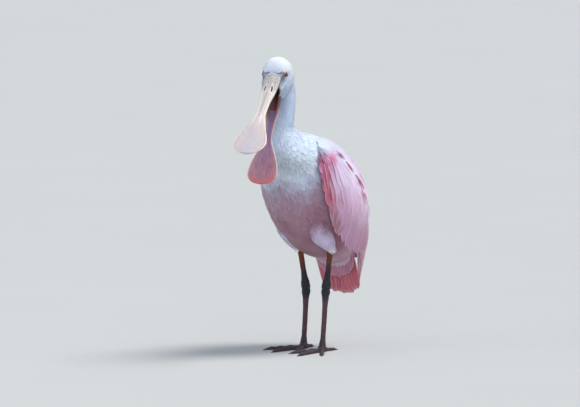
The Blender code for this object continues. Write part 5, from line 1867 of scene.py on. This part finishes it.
@dataclass
class Leg:
    """One leg from the flank to the toes. Points are left, forward, up; the thigh's have a radius besides."""

    side: Side
    foot_place: tuple[float, float, float]
    ankle_place: tuple[float, float, float]
    tibia_end_place: tuple[float, float, float]
    thigh: tuple[tuple[float, float, float, float], ...]
    claw_length: float = 0.0105
    web_reach: float = 0.36
    web_dip: float = 0.62
    web_thick: float = 0.0016

    def limb(self, name: str, start: Array, end: Array, shares: list[float], radii: list[float],
             finish: Material, tint: Formula, slot: str, node: str) -> None:
        """Builds a scaly tube: its radius is a smooth curve through the radii, with low knobs round it.

        Args:
            name: The piece's name.
            start: One end.
            end: The other end.
            shares: Places of the radii along it.
            radii: The radii.
            finish: The material.
            tint: A function of the share along it that gives a colour.
            slot: The record's material slot.
            node: The solid that it replaces.
        """
        t = np.linspace(0, 1, 150)
        smooth_radii = spline(np.array(radii)[:, None], np.interp(t, shares, range(len(shares))))[:, 0]
        bend = np.sin(t * math.pi)[:, None] * np.array([0.0, 0.0008, 0.0])
        points = tube(start + t[:, None] * (end - start) + bend, smooth_radii, 48)
        middle = points.mean(1, keepdims=True)
        points = middle + (points - middle) * (1 + 0.035 * ripple(points, 0.004, 61))[..., None]
        tints = tint(t)[:, None] * (1 + 0.10 * ripple(points, 0.005, 62))[..., None]
        lofted(name, [points], finish, tints, slot, (node,))

    def build(self, scaly: Material, horn: Material) -> None:
        """Builds tibia, tarsus, foot, webs and claws."""
        word = self.side.word
        top, ankle, foot = at(*self.tibia_end_place), at(*self.ankle_place), at(*self.foot_place)
        top = top + 0.22 * (top - ankle)

        def upper_tint(t: Array) -> Array:
            """Brown under the feathers and nearly black at the ankle joint."""
            return mix(shade(124, 58, 34), shade(42, 38, 48), smooth(0.34, 0.72, t))

        def lower_tint(t: Array) -> Array:
            """Dull wine red between the dark joint and the dark foot."""
            colour = mix(shade(42, 38, 48), shade(92, 62, 70), smooth(0.08, 0.26, t))
            return mix(colour, shade(66, 50, 58), smooth(0.7, 1, t))

        self.limb(f"tibia_{word}", top, ankle, [0, 0.35, 0.62, 0.78, 0.88, 0.96, 1.0],
                  [0.0056, 0.0048, 0.0046, 0.0056, 0.0074, 0.0078, 0.0070], scaly, upper_tint, "tibia_skin",
                  f"shank_{word}")
        start, end = ankle + 0.0002 * unit(foot - ankle), foot + 0.0090 * UPWARDS
        self.limb(f"lower_leg_{word}", start, end, [0, 0.06, 0.14, 0.28, 0.6, 0.86, 0.94, 1.0],
                  [0.0070, 0.0074, 0.0058, 0.0046, 0.0043, 0.0044, 0.0054, 0.0060], scaly, lower_tint,
                  "leg_skin", f"tarsus_{word}")
        self.foot(foot, scaly)
        claws = [toe.claw(self.side, foot, self.claw_length if toe.name != "hind" else 0.009) for toe in TOES]
        self.joined(f"claws_{word}", claws, horn, shade(38, 32, 34))

    def joined(self, name: str, grids: list[Array], finish: Material, colour: Array,
               stands_for: tuple[str, ...] = ()) -> None:
        """Builds one mottled piece of several closed lofts with the same number of points."""
        tints = colour * (1 + 0.12 * ripple(np.stack(grids), 0.004, 63))[..., None]
        lofted(name, grids, finish, tints, "leg_skin", stands_for)

    def foot(self, foot: Array, finish: Material) -> None:
        """Builds toes round a low hub, and small webs between the roots of the front three."""
        toes = [toe.rings(self.side, foot)[:, ::-1] for toe in TOES]
        self.joined(f"toes_{self.side.word}", toes, finish, shade(76, 58, 66), (f"foot_{self.side.word}",))
        height = np.array([0, 0.0006, 0.003, 0.006, 0.0085, 0.0100])
        radius = np.array([0.0068, 0.0077, 0.0081, 0.0078, 0.0070, 0.0058])
        high, wide = spline(np.stack([height, radius], -1), np.linspace(0, 5, 40)).T[:, :, None]
        hub = oval(foot + high * UPWARDS, -wide * BACKWARDS, wide * LEFTWARDS, full_turn(48), 2.0)
        self.joined(f"foot_hub_{self.side.word}", [hub[:, ::-1]], finish, shade(76, 58, 66))
        webs = [self.web(foot, TOES[0], TOES[1]), self.web(foot, TOES[1], TOES[2])]
        self.joined(f"webs_{self.side.word}", webs, finish, shade(88, 64, 70))

    def web(self, foot: Array, first: Toe, second: Toe) -> Array:
        """A thin slab between two toes, its free edge drawn in by a parabola: rings run out from the foot."""
        out = np.linspace(0.02, 1, 24)
        over = np.linspace(0, 1, 17)
        arms = [self.web_reach * toe.length * toe.ahead(self.side) for toe in (first, second)]
        reach = 1 - (1 - self.web_dip) * 4 * over * (1 - over) * 0.75
        sheet = (1 - over)[None, :, None] * arms[0] + over[None, :, None] * arms[1]
        sheet = foot + out[:, None, None] * reach[None, :, None] * sheet
        thick = self.web_thick + 0.0014 * (2 * np.abs(over - 0.5)) ** 2
        high = sheet + thick[None, :, None] * UPWARDS
        grid = np.concatenate([sheet + 0.0002 * UPWARDS, high[:, ::-1]], 1)
        return grid if self.side is Side.LEFT else grid[:, ::-1]


LEGS = (
    Leg(Side.LEFT, (0.027, 0.011, 0.0), (0.0275, 0.0015, 0.106), (0.032, -0.0045, 0.172),
        ((0.0440, 0.0510, 0.2429, 0.0130), (0.0418, 0.0345, 0.2106, 0.0180),
         (0.0448, 0.0180, 0.1889, 0.0140), (0.0425, 0.0010, 0.1728, 0.0075))),
    Leg(Side.RIGHT, (-0.027, -0.011, 0.0), (-0.0275, -0.0190, 0.102), (-0.030, -0.0035, 0.172),
        ((-0.0400, 0.0480, 0.2429, 0.0120), (-0.0370, 0.0300, 0.2106, 0.0155),
         (-0.0360, 0.0140, 0.1890, 0.0120), (-0.0325, 0.0000, 0.1720, 0.0075))),
)


@dataclass
class Plumes:
    """The contour feathers of body, neck, head and thighs."""

    body: Form
    head: Form
    thighs: list[Form]
    wings: list[Wing]

    def under_wing(self, places: Array, out: Array) -> Array:
        """Whether a wing's surface lies over each place: the nearest point of it is close and further out."""
        along, across = np.meshgrid(np.linspace(0.17, 0.80, 48), np.linspace(0.10, 0.86, 24), indexing="ij")
        cover = np.concatenate([wing_surface(wing.side, along, across * wing.reach)[0].reshape(-1, 3)
                                for wing in self.wings])
        hidden = np.zeros(len(places), bool)
        for run in np.array_split(np.arange(len(places)), max(1, len(places) // 2000)):
            away = cover[None] - places[run, None]
            near = np.argmin((away**2).sum(-1), 1)
            gap = away[np.arange(len(run)), near]
            hidden[run] = (np.linalg.norm(gap, axis=1) < 0.016) & ((gap * out[run]).sum(1) > 0.0035)
        return hidden

    def over_wing(self, places: Array) -> Array:
        """How high feathers rise over a wing's root or front edge: 0.0045 exp(-(distance / 0.013)^2)."""
        edges = []
        for wing in self.wings:
            edges.append(wing_surface(wing.side, np.linspace(0, 0.42, 40), np.full(40, wing.reach))[0])
            edges.append(wing_surface(wing.side, np.full(12, 0.02), np.linspace(0, wing.reach, 12))[0])
            edges.append(wing_surface(wing.side, np.linspace(0, 0.12, 12), np.zeros(12))[0])
        edge = np.concatenate(edges)
        return 0.0045 * bump(np.linalg.norm(places[:, None] - edge[None], axis=-1).min(1), 0.0, 0.013)

    def build(self, down: Material, barbed: Material) -> None:
        """Grows broad feathers and finer wisps on each form."""
        rng = np.random.default_rng(2024)
        last = self.body.rows - 1
        per = last / (len(BODY_RIBS) - 1)

        def off_body(places: Array, out: Array) -> Array:
            """Under a wing or inside the head."""
            return self.under_wing(places, out) | self.head.holds(places, 0.9)

        def off_neck(places: Array, out: Array) -> Array:
            """Inside the head."""
            return self.head.holds(places, 0.85) | (from_hollows(places) < 1.3)

        def off_head(places: Array, out: Array) -> Array:
            """Bare skin, or inside the neck."""
            bare = (Colours.bareness(places) > 0.5) | (from_hollows(places) < 1.3)
            return bare | self.body.holds(places, 0.9)

        def off_thigh(places: Array, out: Array) -> Array:
            """Inside the trunk."""
            return self.body.holds(places, 0.93)

        neck_end, trunk = 5.4 * per, 4.6 * per
        body = Coat(0.0044, 0.017, 0.0088, 0.0030, 0.0007, arch=0.06, change=0.04)
        silk = Coat(0.0032, 0.0160, 0.0018, 0.0010, 0.0010, 0.20, WISP, arch=0.15, change=0.06)
        neck = Coat(0.0030, 0.0120, 0.0048, 0.0022, 0.0006, arch=0.08, change=0.03)
        neck_silk = Coat(0.0024, 0.0115, 0.0012, 0.0010, 0.0011, stray=0.24, outline=WISP, arch=0.2)
        head = Coat(0.0017, 0.0058, 0.0025, 0.0011, 0.0004, stray=0.10)
        head_silk = Coat(0.0014, 0.0050, 0.0007, 0.0006, 0.0008, stray=0.2, outline=WISP, arch=0.3)
        thigh = Coat(0.0036, 0.014, 0.0065, 0.0034, 0.0006, arch=0.06, change=0.025)
        thigh_silk = Coat(0.0022, 0.0180, 0.0015, 0.0010, 0.0016, 0.20, WISP, arch=0.15, change=0.03)
        kinds = ("plumes", barbed), ("silk", down)
        for coat, (kind, finish) in zip((body, silk), kinds):
            coat.grow(self.body, trunk, last - 1, rng, off_body, Colours.body, loft=self.over_wing).build(
                f"body_{kind}", finish, "body_feathers")
        for coat, (kind, finish) in zip((neck, neck_silk), kinds):
            coat.grow(self.body, 0.4, neck_end, rng, off_neck, Colours.body).build(
                f"neck_{kind}", finish, "neck_feathers")
        for coat, (kind, finish) in zip((head, head_silk), kinds):
            coat.grow(self.head, 1, self.head.rows - 1, rng, off_head, Colours.head, Colours.head_flow).build(
                f"head_{kind}", finish, "neck_feathers")
        for form, side in zip(self.thighs, Side):
            for coat, (kind, finish) in zip((thigh, thigh_silk), kinds):
                coat.grow(form, 1, 0.80 * form.rows, rng, off_thigh, Colours.thigh).build(
                    f"thigh_{kind}_{side.word}", finish, "body_feathers")


@dataclass
class Studio:
    """Floor, lights and camera.

    Attributes:
        azimuth: The camera's turn about the vertical.
        elevation: Its angle above level.
        far: Its distance.
        lens: Its focal length in millimetres, on a sensor 36 wide.
        aside: How far right of the point between the feet it looks.
        high: How far above it.
        middle: Height of the bird's middle, which near lights look at.
        floor_half: Half the floor's side.
    """

    azimuth: float = math.radians(35)
    elevation: float = math.radians(6)
    far: float = 30.0
    lens: float = 1095.3
    aside: float = -0.0391
    high: float = 0.24905
    middle: float = 0.28
    floor_half: float = 30.0

    def camera(self) -> None:
        """Looks down a line of sight that passes the bird's middle at the photograph's angle."""
        right = Vector((math.cos(self.azimuth), math.sin(self.azimuth), 0))
        back = Vector((math.sin(self.azimuth) * math.cos(self.elevation),
                       -math.cos(self.azimuth) * math.cos(self.elevation), math.sin(self.elevation)))
        up = back.cross(right)
        data = bpy.data.cameras.new("view")
        data.sensor_width, data.lens, data.clip_end = 36, self.lens, 200
        obj = linked("view", data)
        obj.location = Vector(STANCE) + self.aside * right + self.high * up + self.far * back
        obj.rotation_euler = (math.pi / 2 - self.elevation, 0, self.azimuth)
        bpy.context.scene.camera = obj

    def light(self, name: str, kind: str, source: Vector, power: float,
              colour: tuple[float, float, float]) -> bpy.types.Light:
        """Adds a light that is turned to the bird.

        Args:
            name: Its name.
            kind: SUN for a far one, AREA for a square one that stands near.
            source: The direction of the far one, the place of the near one.
            power: Its strength.
            colour: Its colour.

        Returns:
            The light, still to be given its size.
        """
        data = bpy.data.lights.new(name, kind)
        data.energy, data.color = power, colour
        obj = linked(name, data)
        obj.location = source
        aim = source if kind == "SUN" else source - Vector((0, 0, self.middle))
        obj.rotation_euler = aim.to_track_quat("Z", "Y").to_euler()
        return data

    def build(self, mottle: Tree) -> None:
        """Builds the floor, the world, the lights and the camera."""
        finish = Tinted("floor_paper", roughness=0.85, blotch=3.0, grain=160.0, change=0.01, depth=0.0)
        corners = self.floor_half * np.array([[-1, -1, 0], [1, -1, 0], [1, 1, 0], [-1, 1, 0]]) - STANCE
        tints = np.tile(shade(190, 189, 187), (4, 1))
        Piece("floor", corners, np.arange(4)[None], finish.material(mottle), tints=tints).make()
        world = bpy.data.worlds.new("studio")
        world.use_nodes = True
        sky = world.node_tree.nodes["Background"].inputs
        sky["Color"].default_value, sky["Strength"].default_value = (0.74, 0.87, 1.0, 1), 0.42
        bpy.context.scene.world = world
        key = self.light("key", "SUN", Vector((0.62, 0.55, 1.55)), 2.5, (1.0, 0.985, 0.96))
        fill = self.light("sky", "SUN", Vector((0.30, -0.80, 1.10)), 1.25, (0.80, 0.90, 1.0))
        glint = self.light("glint", "AREA", Vector((-1.3, -1.9, 1.5)), 5, (0.92, 0.95, 1.0))
        key.angle, fill.angle, glint.size = math.radians(24), math.radians(90), 1.0
        bpy.context.scene.view_settings.view_transform = "Standard"
        self.camera()


def main() -> None:
    """Builds the bird piece by piece, then the studio."""
    logging.basicConfig(level=logging.INFO, format="%(message)s")
    barbs, mottle, scutes = barbs_group(), mottle_group(), scutes_group()
    plumes = Plumage("flight_plumes", 0.55, 0.15, across=9.0, barbs=70.0, streak=0.10, depth=0.0003)
    barbed = Plumage("body_plumage", 0.75, 0.3, across=7.0, barbs=34.0, streak=0.06)
    down = Plumage("silky_down", 0.8, 0.35, across=3.0, barbs=12.0, streak=0.05, depth=0.0001)
    plumes, barbed, down = (finish.material(barbs) for finish in (plumes, barbed, down))
    bare = Tinted("bare_skin", 0.55, depth=0.00015)
    lining = Tinted("mouth_lining", 0.3, coat=0.4, change=0.25, depth=0.0002)
    horn = Tinted("bill_horn", 0.42, coat=0.15, blotch=220.0, grain=1600.0, change=0.06, depth=0.00008)
    wet = Tinted("eye_glass", 0.08, coat=1.0, specular=0.6, change=0.0, depth=0.0)
    lid = Tinted("eyelid_skin", 0.5, blotch=600.0, change=0.12)
    claw = Tinted("claw_horn", 0.35, coat=0.2, change=0.1)
    kinds = bare, lining, horn, wet, lid, claw
    bare, lining, horn, wet, lid, claw = (finish.material(mottle) for finish in kinds)
    scaly = Scaly("leg_scales", 0.5).material(scutes)

    body, head = body_form(), head_form()
    thighs = [thigh_form(leg) for leg in LEGS]
    wings = [Wing(Side.LEFT, 1.0), Wing(Side.RIGHT, 0.78)]
    Skin().build(body, head, thighs, bare, lining)
    Plumes(body, head, thighs, wings).build(down, barbed)
    for wing, seed in zip(wings, (7, 8)):
        wing.build(plumes, down, seed)
    Mantle().build(plumes)
    Tail().build(plumes)
    UpperBill("upper_bill_half", UPPER_STATIONS, "bill_upper", "bill_upper").build(horn)
    LowerBill("lower_bill_half", LOWER_STATIONS, "bill_lower", "bill_lower").build(horn)
    gape_folds(lid)
    for side in Side:
        eye = Eye(side)
        eye.ball(wet)
        eye.lids(lid)
    for leg in LEGS:
        leg.build(scaly, claw)
    Studio().build(mottle)
    total = sum(len(obj.data.loops) - 2 * len(obj.data.polygons) for obj in bpy.data.objects
                if obj.type == "MESH" and not obj.hide_render)
    LOG.info("triangles: %d", total)


if __name__ == "__main__":
    main()
